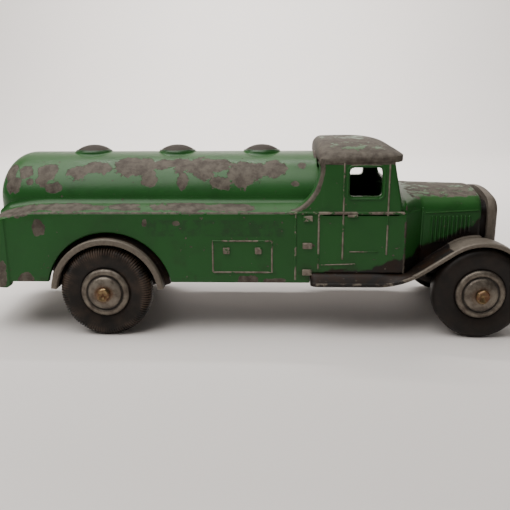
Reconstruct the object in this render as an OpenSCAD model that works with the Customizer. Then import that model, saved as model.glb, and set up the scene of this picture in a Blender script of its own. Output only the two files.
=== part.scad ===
// Toy petrol tank wagon in cast zinc alloy: a hollow body casting on a cast chassis with front
// wings, running boards and rear mudguards, a pressed tin radiator, and four rubber tyred wheels
// on two plain steel axles with peened ends.
// X points forward, Y to the left of the driver, Z up. Z = 0 is the ground, X = 0 the middle of
// the length and Y = 0 the centre line.

/* [Overall] */
// Distance between the two axles
wheelbase = 68.5; // [58:0.5:84]
// From the rear axle back to the tail of the body
rear_overhang = 25.5; // [21:0.5:31]
// From the front axle forward to the tips of the front wings
front_overhang = 11; // [10.5:0.1:14]
// Width of the body over its side skirts
body_w = 29.7; // [24.5:0.1:36]
// Wall of the body casting
wall = 1.5; // [1.2:0.05:2]
// Fine gap left wherever two castings lie face to face along a curve
seat_gap = 0.1; // [0.05:0.01:0.2]

/* [Body heights, all above the sills] */
// Height of the sills above the axles
sill_rise = 1.6; // [1.4:0.1:3]
// Height of the belt line, where the skirts turn in to the ledge
belt_h = 13.2; // [11:0.1:16]
// Rise of the ledge from the belt line to the foot of the tank
ledge_rise = 1.2; // [0.4:0.1:1.5]
// Height of the top of the tank
tank_h = 22.6; // [18.8:0.1:27.2]
// Height of the eaves of the cab roof
eave_h = 22.1; // [18.5:0.1:26.6]
// Rise of the cab roof from its eaves to its crown
roof_rise = 3.4; // [2.4:0.1:4.4]
// Height of the crown of the bonnet
bonnet_h = 16.2; // [13.5:0.1:19.4]

/* [Tank] */
// Width of the tank
tank_w = 21.2; // [17.6:0.1:23.4]
// Radius of the rounded rear edge of the tank
tank_r = 5; // [4:0.1:7.6]
// How far the tank stops short of the tail
tank_setback = 4; // [1:0.1:5]
// Plan radius of the corners of the tail
tail_r = 7.2; // [4:0.1:8.6]
// How far the tail panel hangs below the sills
tail_drop = 1.2; // [0:0.1:1.5]
// Radius of the belt line where it falls away to the tail
belt_fall_r = 40; // [33:1:60]
// How far forward of the tail the belt line starts to fall
belt_fall_l = 16; // [12:0.5:19]
// Diameter of the three filler caps
cap_d = 6.4; // [5:0.1:7.7]
// Height of the filler caps above the tank
cap_h = 1.25; // [0.8:0.05:1.6]
// Spacing of the filler caps
cap_pitch = 16.7; // [13:0.1:18]
// From the rear wall of the cab back to the foremost filler cap
cap_in = 10.8; // [8.5:0.1:12]

/* [Cab] */
// From the front axle back to the rear wall of the cab
cab_setback = 29.1; // [26:0.1:32]
// Length of the cab sides, from the rear wall to the scuttle
cab_l = 15.3; // [14:0.1:18.4]
// Radius of the sweep from the rear edge of the cab down to the ledge
sweep_r = 7; // [4:0.1:8.4]
// How far the screen pillars stand behind the scuttle at the eaves
screen_rake = 2.3; // [1.6:0.1:3]
// How far the roof overhangs the pillars in front as a visor
visor = 2.2; // [1:0.1:2.6]
// Width of the opening in each side window
window_w = 5.8; // [4.8:0.1:6.9]
// Height of the opening in each side window
window_h = 5.2; // [4.4:0.1:6]
// From the rear wall of the cab forward to the side window
window_in = 5.1; // [4.4:0.1:6]
// Width of the post between the two windscreen panes
post_w = 2.4; // [1.6:0.1:3]
// Height of the windscreen panes
screen_h = 3.7; // [3:0.1:4.1]
// Wall of the front of the cab round the windscreen panes
screen_t = 0.6; // [0.5:0.05:0.8]

/* [Bonnet and radiator] */
// Length of the taper from the cab to the bonnet
scuttle_l = 3.6; // [2.5:0.1:4.3]
// Width of the bonnet where it leaves the scuttle
bonnet_w = 21.4; // [18:0.1:23]
// Width of the bonnet at its front edge
bonnet_front_w = 18.6; // [15.5:0.1:20]
// Length of the bonnet
bonnet_l = 11.3; // [9.5:0.1:12.4]
// Radius of the shoulders of the bonnet
shoulder_r = 2.6; // [1.6:0.1:3.2]
// Length of the nose that the radiator is pushed over
nose_l = 2.65; // [2:0.05:2.8]
// How far the sides of the nose stand in from the bonnet
nose_in = 0.9; // [0.8:0.05:1.2]
// How far the nose stands below the crown of the bonnet
nose_drop = 1.6; // [1.5:0.1:2.4]
// How far the radiator stands below the crown of the bonnet
radiator_drop = 0.5; // [0.4:0.05:0.9]
// Number of louvres on each side of the bonnet
louvres = 10; // [6:1:12]
// Thickness of the radiator sheet
sheet_t = 0.4; // [0.3:0.05:0.5]
// Depth of the radiator from front to back
radiator_d = 2; // [1.5:0.1:2.2]

/* [Chassis] */
// Thickness of the floor and of the inner wheel walls
floor_t = 1.2; // [1:0.05:1.6]
// How far the floor reaches in front of the radiator
floor_lip = 0.9; // [0.5:0.05:1.2]
// How far the narrow tail of the floor reaches behind the rear mudguards
floor_tail_l = 7.5; // [4:0.5:8.5]
// Width of the narrow tail of the floor
floor_tail_w = 16; // [12:0.5:18]
// Thickness of the front wings
wing_t = 0.8; // [0.6:0.05:1.2]
// Running gap between the front tyres and the wings
wing_gap = 0.3; // [0.25:0.05:0.6]
// Slope of the front wings behind the wheels, in degrees
wing_slope = 33.5; // [30:0.5:40]
// How far the guards and boards stand out beyond the body
guard_out = 1.55; // [1.2:0.05:2]
// Thickness of the rear mudguards
guard_t = 1.15; // [0.9:0.05:1.4]
// Running gap between the rear tyres and their mudguards
guard_gap = 0.9; // [0.85:0.05:1.1]
// Gap between the rear mudguards and the arches in the skirts
arch_gap = 1.3; // [1:0.05:1.6]
// Length of the straight part of the running boards
board_l = 12.1; // [10:0.1:14]
// Thickness of the outer edge of the running boards
board_t = 0.8; // [0.6:0.05:1.2]
// Depth of the boards below the sills
board_drop = 0.35; // [0.2:0.05:0.5]
// How far the tops of the boards climb towards the body
board_climb = 1.45; // [1:0.05:1.7]
// Radius of the hollow sweep from the running boards up into the front wings
wing_sweep_r = 15; // [12:0.5:18]
// Length of the smooth pad under the chassis
pad_l = 30; // [24:0.5:36]
// Width of the smooth pad under the chassis
pad_w = 12; // [9:0.5:14.5]
// How far the pad stands down from the floor
pad_h = 0.5; // [0.3:0.1:0.8]

/* [Wheels and axles] */
// Diameter of the tyres
tyre_d = 17; // [14.2:0.1:20.4]
// Width of the tyres
tyre_w = 4.3; // [3.6:0.05:4.7]
// Radius of the shoulders of the tyres
tyre_shoulder = 1.4; // [1:0.05:1.7]
// Diameter of the rim of the hubs
hub_d = 9.06; // [7.6:0.02:10.8]
// Depth of the groove that the tyre sits in
groove_depth = 0.45; // [0.3:0.05:0.6]
// Width of the two flanges that keep the tyre in the groove
flange_w = 0.6; // [0.4:0.05:0.8]
// How far the centre of the hub stands out beyond its rim
hub_dome = 1.15; // [0.7:0.05:1.3]
// Diameter of the axles
axle_d = 2; // [1.7:0.05:2.4]
// Radial clearance of the axles in the lugs and in the hubs
axle_gap = 0.05; // [0.02:0.01:0.1]
// Diameter of the peened ends of the axles
peen_d = 2.6; // [2.4:0.05:3]
// Height of the peened ends
peen_h = 0.75; // [0.5:0.05:0.9]
// Side play of each wheel between the chassis and the peened end
side_play = 0.4; // [0.2:0.05:0.6]

/* [Rivets] */
// Diameter of the rivet shanks
rivet_d = 2.2; // [1.9:0.05:2.6]
// Diameter of the rivet heads
rivet_head_d = 4.2; // [3.6:0.1:5]
// Height of the rivet heads
rivet_head_h = 0.9; // [0.6:0.05:1.1]
// Diameter of the bosses inside the body that the rivets enter
boss_d = 5.2; // [4.4:0.1:6.2]
// Depth that the rivets reach into the bosses
rivet_grip = 5; // [4:0.1:6]

/* [Surface relief] */
// Width of the raised lines cast on the sides
line_w = 0.4; // [0.3:0.05:0.5]
// Height of the raised lines
line_h = 0.2; // [0.15:0.05:0.3]

/* [Hidden] */
$fn = 96;
eps = 0.01;
arc_steps = 8;
fit_gap = 0.03;

// Places along the length
total_l = rear_overhang + wheelbase + front_overhang;
tail_x = -total_l / 2;
rear_axle_x = tail_x + rear_overhang;
front_axle_x = rear_axle_x + wheelbase;
tip_x = front_axle_x + front_overhang;
cab_x = front_axle_x - cab_setback;
scuttle_x = cab_x + cab_l;
bonnet_x = scuttle_x + scuttle_l;
nose_x = bonnet_x + bonnet_l;
radiator_x = nose_x + nose_l + 2 * fit_gap + sheet_t;
tank_x = tail_x + tank_setback;
tail_panel_x = tail_x + tail_r;
cap_x = cab_x - cap_in;
pillar_x = scuttle_x - screen_rake;

// Heights
tyre_r = tyre_d / 2;
axle_z = tyre_r;
sill_z = axle_z + sill_rise;
belt_z = sill_z + belt_h;
ledge_z = belt_z + ledge_rise;
tank_z = sill_z + tank_h;
eave_z = sill_z + eave_h;
roof_z = eave_z + roof_rise;
bonnet_z = sill_z + bonnet_h;
board_z = sill_z - board_drop;
board_top_z = board_z + board_t;
board_seat_z = board_top_z + board_climb;
floor_z = sill_z + seat_gap;
floor_top_z = floor_z + floor_t;

// Places across the width
half_w = body_w / 2;
guard_y = half_w + guard_out;
tyre_out_y = guard_y - seat_gap;
tyre_in_y = tyre_out_y - tyre_w;
lug_y = tyre_in_y - side_play;
lug_t = 1.8;
lug_wall = 1.4;
web_l = 11;
web_a = 20;
wing_in_y = min(bonnet_front_w / 2 - 1.3, lug_y - floor_t - 1);
hub_rim_w = tyre_w - 0.3;
hub_face_w = hub_rim_w + hub_dome;
peen_y = tyre_in_y + hub_face_w + seat_gap;

// Circles round the wheels
wing_in_r = tyre_r + wing_gap;
wing_out_r = wing_in_r + wing_t;
guard_in_r = tyre_r + guard_gap;
guard_out_r = guard_in_r + guard_t;
arch_r = guard_out_r + arch_gap;
guard_shift = 0.4;
guard_x = rear_axle_x + guard_shift;
guard_z = axle_z - guard_shift;

// Front wing line: level board, concave fillet, straight climb, crest round the wheel, flared tip
wing_fillet_r = wing_sweep_r - wing_t;
crest = [front_axle_x - wing_out_r * sin(wing_slope), axle_z + wing_out_r * cos(wing_slope)];
climb_l = (crest[1] - board_top_z) / tan(wing_slope);
fillet_l = wing_fillet_r * tan(wing_slope / 2);
foot_x = crest[0] - climb_l;
flare_a = 28;
flare = [front_axle_x + wing_out_r * cos(flare_a), axle_z + wing_out_r * sin(flare_a)];
flare_drop = (tip_x - flare[0]) / tan(flare_a);
board_x = foot_x - fillet_l - board_l;

// Window sill, rivets, slot for the radiator tab and smooth pad
window_z = eave_z - 0.9 - window_h;
slot_w = 3;
tab_l = 2;
front_rivet_x = front_axle_x - 6;
rear_rivet_x = rear_axle_x + 17;
pad_x = rear_rivet_x + 7 + pad_l / 2;

// Relief cast on the sides: cab seams, door, hinges, handle and locker
panel_x = cab_x - 4.35;
corner_x = cab_x - 0.2;
door_rear_x = cab_x + 4.15;
door_front_x = cab_x + 12.05;
door_foot_z = sill_z + 6;
hinge_x = cab_x - 2.2;
hinge_z = sill_z + 2.1;
hinge_pitch = 5;
handle_x = cab_x + 5.8;
plate_h = 0.35;
handle_h = 0.5;
locker_x = cab_x - 19.4;
locker_z = sill_z + 2.05;
locker_w = 10.8;
locker_h = 5.9;
catch_in = 2.5;
louvre_pitch = 0.78;
louvre_w = 0.3;
louvre_l = 4;
louvre_h = 0.15;

function arc(cx, cy, r, a0, a1, n = arc_steps) =
    [for (i = [0:n]) let (a = a0 + (a1 - a0) * i / n) [cx + r * cos(a), cy + r * sin(a)]];

function mirrored(points) = concat(points, [for (i = [len(points) - 1:-1:0]) [-points[i][0], points[i][1]]]);

// Top line of the front wing, moved in by d towards the wheel, from the board to the tip
function wing_line(d) = concat(
    arc(foot_x - fillet_l, board_top_z + wing_fillet_r, wing_fillet_r + d, -90, -90 + wing_slope),
    arc(front_axle_x, axle_z, wing_out_r - d, 90 + wing_slope, flare_a, 24),
    [[tip_x - d / cos(flare_a), flare[1] - flare_drop]]);

// Half ellipse of the tank over the ledge, shrunk by d
function tank_section(d) = concat(
    [[tank_w / 2 - d, 0]],
    [for (i = [0:24]) let (a = i * 7.5)
        [(tank_w / 2 - d) * cos(a), ledge_z + (tank_z - ledge_z - d) * sin(a)]],
    [[-tank_w / 2 + d, 0]]);

// Section of the skirts and the sloping ledge, shrunk by d
function skirt_section(d) = mirrored([
    [half_w - d, 0],
    [half_w - d, belt_z - d * 0.4],
    [half_w - 1.4 - d, belt_z + 0.7 * ledge_rise - d],
    [tank_w / 2 - d, ledge_z - d]]);

// Rounded section of the bonnet or radiator: half width, crown height and shoulder radius
function hood_section(hw, top, r, base) = mirrored(concat(
    [[hw, base]],
    arc(hw - r, top - 0.08 * hw - r, r, 0, 80),
    [[hw * 0.35, top - 0.02 * hw]]));

// Section of the cab roof, shrunk by d
function roof_section(d) = mirrored([
    [half_w + 0.1 - d, eave_z - 0.1 - 2 * d],
    [half_w + 0.1 - d, eave_z + 0.25 - d],
    [half_w - 0.9 - d, eave_z + 0.3 * roof_rise - d],
    [half_w * 0.72, eave_z + 0.66 * roof_rise - d],
    [half_w * 0.4, eave_z + 0.91 * roof_rise - d],
    [half_w * 0.13, roof_z - d]]);

// A flat outline in Y and Z drawn out along X
module along_x(x0, x1) {
    translate([x0, 0, 0]) rotate([90, 0, 90]) linear_extrude(x1 - x0) children();
}

// A flat outline in X and Z drawn out along Y
module along_y(y0, y1) {
    translate([0, y1, 0]) rotate([90, 0, 0]) linear_extrude(y1 - y0) children();
}

// The same shape on the left and on the right
module both_sides() {
    children();
    mirror([0, 1, 0]) children();
}

// A straight round bar across the truck
module cross_bar(x, z, r, y0, y1) {
    translate([x, y1, z]) rotate([90, 0, 0]) cylinder(r = r, h = y1 - y0);
}

// Tank: the half ellipse, rounded over at the rear in side view and in plan
module tank_form(d, x1) {
    r = tank_r - d;
    x0 = tank_x + d;
    intersection() {
        along_x(x0, x1) polygon(tank_section(d));
        along_y(-half_w, half_w) polygon(concat(
            [[x1, 0], [x1, tank_z + 1]],
            [[x1, tank_z - d]],
            arc(x0 + r, tank_z - d - r, r, 90, 180),
            [[x0, 0]]));
        linear_extrude(tank_z + 1) polygon(concat(
            [[x1, -tank_w / 2 + d], [x1, tank_w / 2 - d]],
            arc(x0 + r, tank_w / 2 - d - r, r, 90, 180),
            arc(x0 + r, -tank_w / 2 + d + r, r, 180, 270)));
    }
}

// Skirts with their ledge, rounded at the tail, with the belt line falling to the tail
module skirt_form(d, x1) {
    r = tail_r - d;
    x0 = tail_x + d;
    fall_x = tail_x + belt_fall_l;
    fall_a = asin(belt_fall_l / belt_fall_r);
    intersection() {
        along_x(x0, x1) polygon(skirt_section(d));
        along_y(-half_w, half_w) polygon(concat(
            [[x1, 0], [x1, ledge_z - d]],
            arc(fall_x, ledge_z - belt_fall_r, belt_fall_r - d, 90, 90 + fall_a),
            [[x0 - 1, 0]]));
        linear_extrude(ledge_z + 1) polygon(concat(
            [[x1, -half_w + d], [x1, half_w - d]],
            arc(x0 + r, half_w - d - r, r, 90, 180),
            arc(x0 + r, -half_w + d + r, r, 180, 270)));
    }
}

// Cab sides and walls up to the eaves, with the sweep down to the ledge behind
module cab_form(d) {
    foot = cab_x - sweep_r;
    along_y(-half_w + d, half_w - d) polygon(concat(
        d > 0 ? [[cab_x + wall, 0], [cab_x + wall, eave_z + eps]]
              : concat([[foot, 0]], arc(foot, ledge_z - 0.4 + sweep_r, sweep_r, -90, 0), [[cab_x, eave_z]]),
        [[pillar_x - d, eave_z + (d > 0 ? eps : 0)],
         [scuttle_x - 1.2 - d, bonnet_z + 0.2 - d],
         [scuttle_x - d, bonnet_z - 0.2 - d],
         [scuttle_x - d, 0]]));
}

// Domed cab roof with rounded rear edge and a visor in front
module roof_form(d) {
    x0 = cab_x - 0.3 + (d > 0 ? wall + 0.3 : 0);
    x1 = pillar_x + visor - (d > 0 ? visor + wall : 0);
    drop = 1.1 * roof_rise;
    intersection() {
        along_x(x0, x1) polygon(roof_section(d));
        along_y(-half_w - 1, half_w + 1) polygon([
            [x0, eave_z - 1 - 2 * d],
            [x0, roof_z - 1 - d],
            [x0 + 1, roof_z - 0.1 - d],
            [x0 + 6, roof_z - d],
            [x1 - 3.2, roof_z - 0.6 - d],
            [x1 - 1.3, roof_z - 1.4 - d],
            [x1, roof_z - drop + 0.8 - d],
            [x1, eave_z - 1 - 2 * d]]);
    }
}

// Scuttle taper and bonnet
module hood_form(d) {
    x0 = scuttle_x - 2 - d;
    x1 = nose_x - d;
    intersection() {
        linear_extrude(bonnet_z + 1) polygon([
            [x0, -half_w + d],
            [scuttle_x - d, -half_w + d],
            [bonnet_x - d, -bonnet_w / 2 + d],
            [x1, -bonnet_front_w / 2 + d],
            [x1, bonnet_front_w / 2 - d],
            [bonnet_x - d, bonnet_w / 2 - d],
            [scuttle_x - d, half_w - d],
            [x0, half_w - d]]);
        union() {
            along_x(x0, bonnet_x) polygon(hood_section(half_w - d, bonnet_z - d, shoulder_r, 0));
            along_x(bonnet_x - eps, x1)
                polygon(hood_section(bonnet_w / 2 - d, bonnet_z - d, shoulder_r + 0.4, 0));
        }
    }
}

// Nose that carries the radiator
module nose_form(d) {
    along_x(nose_x - wall - 2 * d, nose_x + nose_l - d)
        polygon(hood_section(bonnet_front_w / 2 - nose_in - d, bonnet_z - nose_drop - d, shoulder_r, 0));
}

// Everything below the bottom edge of the body
module below_body() {
    along_y(-half_w - 2, half_w + 2) polygon(concat(
        [[tail_x - 2, -1], [tail_x - 2, sill_z - tail_drop],
         [tail_panel_x, sill_z - tail_drop],
         [tail_panel_x, sill_z],
         [board_x - seat_gap, sill_z],
         [board_x - seat_gap, board_seat_z]],
        [for (p = wing_line(-seat_gap)) [p[0], max(p[1], board_seat_z)]],
        [[tip_x + 2, sill_z - 2], [tip_x + 2, -1]]));
}

// A raised line on the side of the body, from one corner to the other in X and Z
module side_line(x0, z0, x1, z1) {
    translate([min(x0, x1) - line_w / 2, half_w - wall / 2, min(z0, z1) - line_w / 2])
        cube([abs(x1 - x0) + line_w, wall / 2 + line_h, abs(z1 - z0) + line_w]);
}

// A raised rectangle on the side of the body
module side_plate(x, z, w, h, proud) {
    translate([x - w / 2, half_w - wall / 2, z - h / 2]) cube([w, wall / 2 + proud, h]);
}

// Lines, hinges and handles cast on one side of the body
module side_relief() {
    // tall seams, from the rear: rear of the cab panel, cab corner, both edges of the door, scuttle
    side_line(panel_x, sill_z + 0.6, panel_x, belt_z - 0.3);
    side_line(corner_x, board_seat_z + 0.7, corner_x, belt_z);
    side_line(door_rear_x, board_seat_z + 2.6, door_rear_x, eave_z);
    side_line(door_front_x, board_seat_z + 3.5, door_front_x, eave_z);
    side_line(scuttle_x - line_w, belt_z - 4.5, scuttle_x - line_w, bonnet_z - 0.6);
    // belt line along the cab, foot of the door and foot of the panel behind it
    side_line(panel_x, belt_z, scuttle_x - line_w, belt_z);
    side_line(door_rear_x, door_foot_z, door_front_x, door_foot_z);
    side_line(corner_x, door_foot_z - 2.5, door_rear_x, door_foot_z - 2.5);
    locker_lines();
    for (i = [0:2])
        side_plate(hinge_x, hinge_z + i * hinge_pitch, 1.75, 1.1, plate_h);
    side_plate(handle_x, belt_z - 0.5, 1.8, 0.5, handle_h);
    window_x = cab_x + window_in;
    side_line(window_x - 0.5, window_z - 0.45, window_x + window_w + 0.5, window_z - 0.45);
}

// Outline of the locker door between the wheels, with its two catches
module locker_lines() {
    x1 = locker_x + locker_w;
    z1 = locker_z + locker_h;
    side_line(locker_x, locker_z, locker_x, z1);
    side_line(x1, locker_z, x1, z1);
    side_line(locker_x, locker_z, x1, locker_z);
    side_line(locker_x, z1, x1, z1);
    for (x = [locker_x + catch_in, x1 - catch_in])
        side_plate(x, z1 - 1.8, 1.2, 1.2, plate_h);
}

// Openings for the two side windows and the two windscreen panes
module glass_openings() {
    r = 0.8;
    along_y(-half_w - 2, half_w + 2) union() {
        translate([cab_x + window_in + r, window_z]) square([window_w - 2 * r, window_h]);
        translate([cab_x + window_in, window_z + r]) square([window_w, window_h - 2 * r]);
        for (x = [r, window_w - r], z = [r, window_h - r])
            translate([cab_x + window_in + x, window_z + z]) circle(r = r, $fn = 32);
    }
    both_sides()
        translate([pillar_x - wall - 1, post_w / 2, bonnet_z + 0.6])
            cube([visor + 6, half_w - wall - 0.7 - post_w / 2, screen_h]);
}

// Filler cap with a domed lid
module filler_cap(x) {
    rise = 0.85;
    dome_r = (pow(cap_d / 2, 2) + rise * rise) / (2 * rise);
    translate([x, 0, tank_z - wall / 2]) cylinder(d = cap_d, h = wall / 2 + cap_h - rise);
    intersection() {
        translate([x, 0, tank_z - wall / 2]) cylinder(d = cap_d, h = wall / 2 + cap_h);
        translate([x, 0, tank_z + cap_h - dome_r]) sphere(r = dome_r);
    }
}

// Hollow boss that a rivet enters from below
module boss(x, top) {
    translate([x, 0, floor_top_z]) cylinder(d = boss_d, h = top - floor_top_z);
}

module boss_bore(x) {
    translate([x, 0, floor_top_z - 1]) cylinder(d = rivet_d + 2 * fit_gap, h = rivet_grip + 1.3);
}

module body_casting() {
    color("darkgreen") difference() {
        union() {
            difference() {
                union() {
                    skirt_form(0, scuttle_x);
                    tank_form(0, cab_x + wall / 2);
                    cab_form(0);
                    roof_form(0);
                    hood_form(0);
                    nose_form(0);
                    both_sides() {
                        side_relief();
                        bonnet_louvres();
                    }
                }
                tank_hollow();
                cab_hollow();
                below_body();
            }
            for (i = [0:2]) filler_cap(cap_x - i * cap_pitch);
            boss(rear_rivet_x, tank_z - wall / 2);
            boss(front_rivet_x, bonnet_z - wall / 2);
        }
        glass_openings();
        rear_arches();
        boss_bore(rear_rivet_x);
        boss_bore(front_rivet_x);
    }
}

// Louvres on one side of the bonnet, each a little further in as the bonnet narrows
module bonnet_louvres() {
    narrowing = (bonnet_w - bonnet_front_w) / 2 / bonnet_l;
    for (i = [0:louvres - 1]) {
        along = 2 + i * louvre_pitch;
        y = bonnet_w / 2 - narrowing * along - wall / 2;
        translate([bonnet_x + along - louvre_w / 2, y, board_seat_z + 6.5])
            cube([louvre_w, wall / 2 + louvre_h, louvre_l]);
    }
}

// Space under the tank and between the skirts
module tank_hollow() {
    skirt_form(wall, cab_x - wall / 2);
    tank_form(wall, cab_x - wall / 2);
    well_x = tail_x + 2 * wall;
    well_w = body_w - 3.2 * wall;
    translate([well_x, -well_w / 2, -1])
        cube([cab_x - wall / 2 - well_x, well_w, sill_z]);
}

// Space inside the cab, scuttle, bonnet and nose
module cab_hollow() {
    cab_form(wall);
    roof_form(wall);
    hood_form(wall);
    nose_form(wall);
    screen_recess();
}

// Recess in the front of the cab that leaves a thin wall round the panes
module screen_recess() {
    foot_z = bonnet_z + 0.2;
    lean = (scuttle_x - 1.2 - pillar_x) / (eave_z - foot_z);
    low = bonnet_z + 0.4;
    high = low + screen_h + 0.4;
    face = scuttle_x - 1.2 - screen_t;
    along_y(-half_w + wall, half_w - wall) polygon([
        [pillar_x - wall - 1, low],
        [face - lean * (low - foot_z), low],
        [face - lean * (high - foot_z), high],
        [pillar_x - wall - 1, high]]);
}

// Arches cut in the skirts over the rear wheels
module rear_arches() {
    cross_bar(guard_x + 0.1, guard_z - 0.3, arch_r, -half_w - 2, half_w + 2);
}

module chassis_casting() {
    color("dimgray") difference() {
        union() {
            chassis_floor();
            both_sides() {
                front_wing();
                running_board();
                rear_guard();
                axle_lug(rear_axle_x, 1);
                axle_lug(front_axle_x, -1);
            }
            translate([pad_x - pad_l / 2, -pad_w / 2, floor_z - pad_h]) cube([pad_l, pad_w, pad_h + eps]);
        }
        cross_bar(rear_axle_x, axle_z, axle_d / 2 + axle_gap, -half_w, half_w);
        cross_bar(front_axle_x, axle_z, axle_d / 2 + axle_gap, -half_w, half_w);
        for (x = [rear_rivet_x, front_rivet_x])
            translate([x, 0, floor_z - 1]) cylinder(d = rivet_d + 2 * fit_gap, h = floor_t + 2);
        radiator_slot();
    }
}

// Flat floor between the wheels, from behind the rear axle to the radiator
module chassis_floor() {
    floor_x = guard_x - guard_out_r;
    translate([floor_x, -lug_y, floor_z])
        cube([radiator_x + floor_lip - floor_x, 2 * lug_y, floor_t]);
    translate([floor_x - floor_tail_l, -floor_tail_w / 2, floor_z])
        cube([floor_tail_l + eps, floor_tail_w, floor_t]);
}

// Front wing of one side, with the shelf under the bonnet and the wall behind the wheel
module front_wing() {
    under = wing_line(wing_t);
    outline = concat(wing_line(0), [for (i = [len(under) - 1:-1:0]) under[i]]);
    along_y(lug_y - floor_t, guard_y) polygon(outline);
    along_y(wing_in_y, lug_y - floor_t + eps) intersection() {
        polygon(outline);
        translate([board_x, 0]) square([nose_x - board_x, eave_z]);
    }
    along_y(lug_y - floor_t, lug_y) intersection() {
        translate([front_axle_x, axle_z]) circle(r = wing_out_r - wing_t / 2);
        translate([front_axle_x - 20, floor_z]) square([40, 20]);
    }
}

// Running board of one side, with its top climbing towards the body
module running_board() {
    reach = crest[0] - (crest[1] - board_seat_z) / tan(wing_slope);
    along_x(board_x, reach) polygon([
        [lug_y - eps, board_z],
        [guard_y, board_z],
        [guard_y, board_top_z],
        [half_w, board_seat_z],
        [lug_y - eps, board_seat_z]]);
}

// Rear mudguard of one side, with the wall behind the wheel
module rear_guard() {
    along_y(lug_y - floor_t, guard_y) difference() {
        translate([guard_x, guard_z]) circle(r = guard_out_r);
        translate([guard_x, guard_z]) circle(r = guard_in_r);
        translate([guard_x - 20, guard_z - 40 + 1.2]) square([40, 40]);
    }
    along_y(lug_y - floor_t, lug_y) intersection() {
        translate([guard_x, guard_z]) circle(r = (guard_in_r + guard_out_r) / 2);
        translate([guard_x - 20, floor_z]) square([40, 20]);
    }
}

// Lug that an axle runs in, with a web that slopes back up to the floor on the side given by way
module axle_lug(x, way) {
    r = axle_d / 2 + lug_wall;
    along_y(lug_y - lug_t, lug_y) union() {
        translate([x, axle_z]) circle(r = r);
        polygon([
            [x - r * way, axle_z],
            [x - r * way, floor_z + eps],
            [x + web_l * way, floor_z + eps],
            [x + r * sin(web_a) * way, axle_z - r * cos(web_a)]]);
    }
}

module radiator_slot() {
    translate([radiator_x - sheet_t - fit_gap, -slot_w / 2 - fit_gap, floor_z - 1])
        cube([sheet_t + 2 * fit_gap, slot_w + 2 * fit_gap, floor_t + 2]);
}

// Radiator pressed from tin, pushed over the nose, with a tab folded under the floor
module radiator() {
    hw = bonnet_front_w / 2;
    top = bonnet_z - radiator_drop;
    back = radiator_x - radiator_d;
    color("black") difference() {
        union() {
            difference() {
                along_x(back, radiator_x) polygon(hood_section(hw, top, shoulder_r + 0.4, floor_top_z));
                along_x(back - 1, radiator_x - sheet_t)
                    polygon(hood_section(hw - sheet_t, top - sheet_t, shoulder_r, floor_top_z - 1));
            }
            translate([radiator_x - sheet_t, -slot_w / 2, floor_z - sheet_t])
                cube([sheet_t, slot_w, floor_t + sheet_t + 1]);
            translate([radiator_x - tab_l, -slot_w / 2, floor_z - sheet_t])
                cube([tab_l, slot_w, sheet_t]);
        }
    }
    color("black") for (i = [-5:5])
        translate([radiator_x - eps, i * 1.4 - 0.2, floor_top_z + 1.6])
            cube([0.2, 0.4, top - floor_top_z - 4.2]);
}

// Rivet through the floor into a boss of the body, with a domed head below
module body_rivet(x) {
    dome_r = (pow(rivet_head_d / 2, 2) + pow(rivet_head_h, 2)) / (2 * rivet_head_h);
    color("silver") union() {
        translate([x, 0, floor_z - eps]) cylinder(d = rivet_d, h = floor_t + rivet_grip);
        intersection() {
            translate([x, 0, floor_z - rivet_head_h]) cylinder(d = rivet_head_d, h = rivet_head_h);
            translate([x, 0, floor_z - rivet_head_h + dome_r]) sphere(r = dome_r);
        }
    }
}

module front_rivet() body_rivet(front_rivet_x);

module rear_rivet() body_rivet(rear_rivet_x);

// Steel axle with both ends peened over
module axle(x) {
    dome_r = (pow(peen_d / 2, 2) + pow(peen_h, 2)) / (2 * peen_h);
    color("darkgoldenrod") union() {
        cross_bar(x, axle_z, axle_d / 2, -peen_y - eps, peen_y + eps);
        both_sides() intersection() {
            cross_bar(x, axle_z, peen_d / 2, peen_y, peen_y + peen_h);
            translate([x, peen_y + peen_h - dome_r, axle_z]) sphere(r = dome_r);
        }
    }
}

module front_axle() axle(front_axle_x);

module rear_axle() axle(rear_axle_x);

// Turns a wheel drawn round Z, inner face at zero, on to its axle. side is 1 on the left
module on_axle(x, side) {
    mirror([0, side > 0 ? 0 : 1, 0])
        translate([x, tyre_in_y, axle_z]) rotate([-90, 0, 0]) children();
}

// Hub cast in zinc alloy: a grooved rim for the tyre and a stepped dome on the outer face
module hub(x, side) {
    rim = hub_d / 2;
    seat = rim - groove_depth;
    bore = axle_d / 2 + axle_gap;
    color("gray") on_axle(x, side) rotate_extrude() polygon([
        [bore, 0],
        [rim, 0],
        [rim, flange_w],
        [seat, flange_w],
        [seat, hub_rim_w - flange_w],
        [rim, hub_rim_w - flange_w],
        [rim, hub_rim_w],
        [rim * 0.96, hub_rim_w + 0.26],
        [rim * 0.87, hub_rim_w + 0.48],
        [rim * 0.77, hub_rim_w + 0.46],
        [rim * 0.73, hub_rim_w + 0.2],
        [rim * 0.68, hub_rim_w + 0.2],
        [rim * 0.66, hub_rim_w + 0.6],
        [rim * 0.52, hub_rim_w + 0.93 * hub_dome],
        [rim * 0.36, hub_rim_w + hub_dome],
        [bore, hub_rim_w + hub_dome]]);
}

// Tyre moulded in rubber, gripping the groove of the hub
module tyre(x, side) {
    rim = hub_d / 2;
    r = tyre_shoulder;
    lip = rim - groove_depth + fit_gap;
    color([0.08, 0.07, 0.06]) on_axle(x, side) rotate_extrude() polygon(concat(
        [[lip, flange_w], [rim + fit_gap, flange_w], [rim + fit_gap, 0]],
        arc(tyre_r - r, r, r, -90, 0),
        arc(tyre_r - r, tyre_w - r, r, 0, 90),
        [[rim + fit_gap, tyre_w], [rim + fit_gap, hub_rim_w - flange_w], [lip, hub_rim_w - flange_w]]));
}

module hub_front_left() hub(front_axle_x, 1);

module hub_front_right() hub(front_axle_x, -1);

module hub_rear_left() hub(rear_axle_x, 1);

module hub_rear_right() hub(rear_axle_x, -1);

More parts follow.
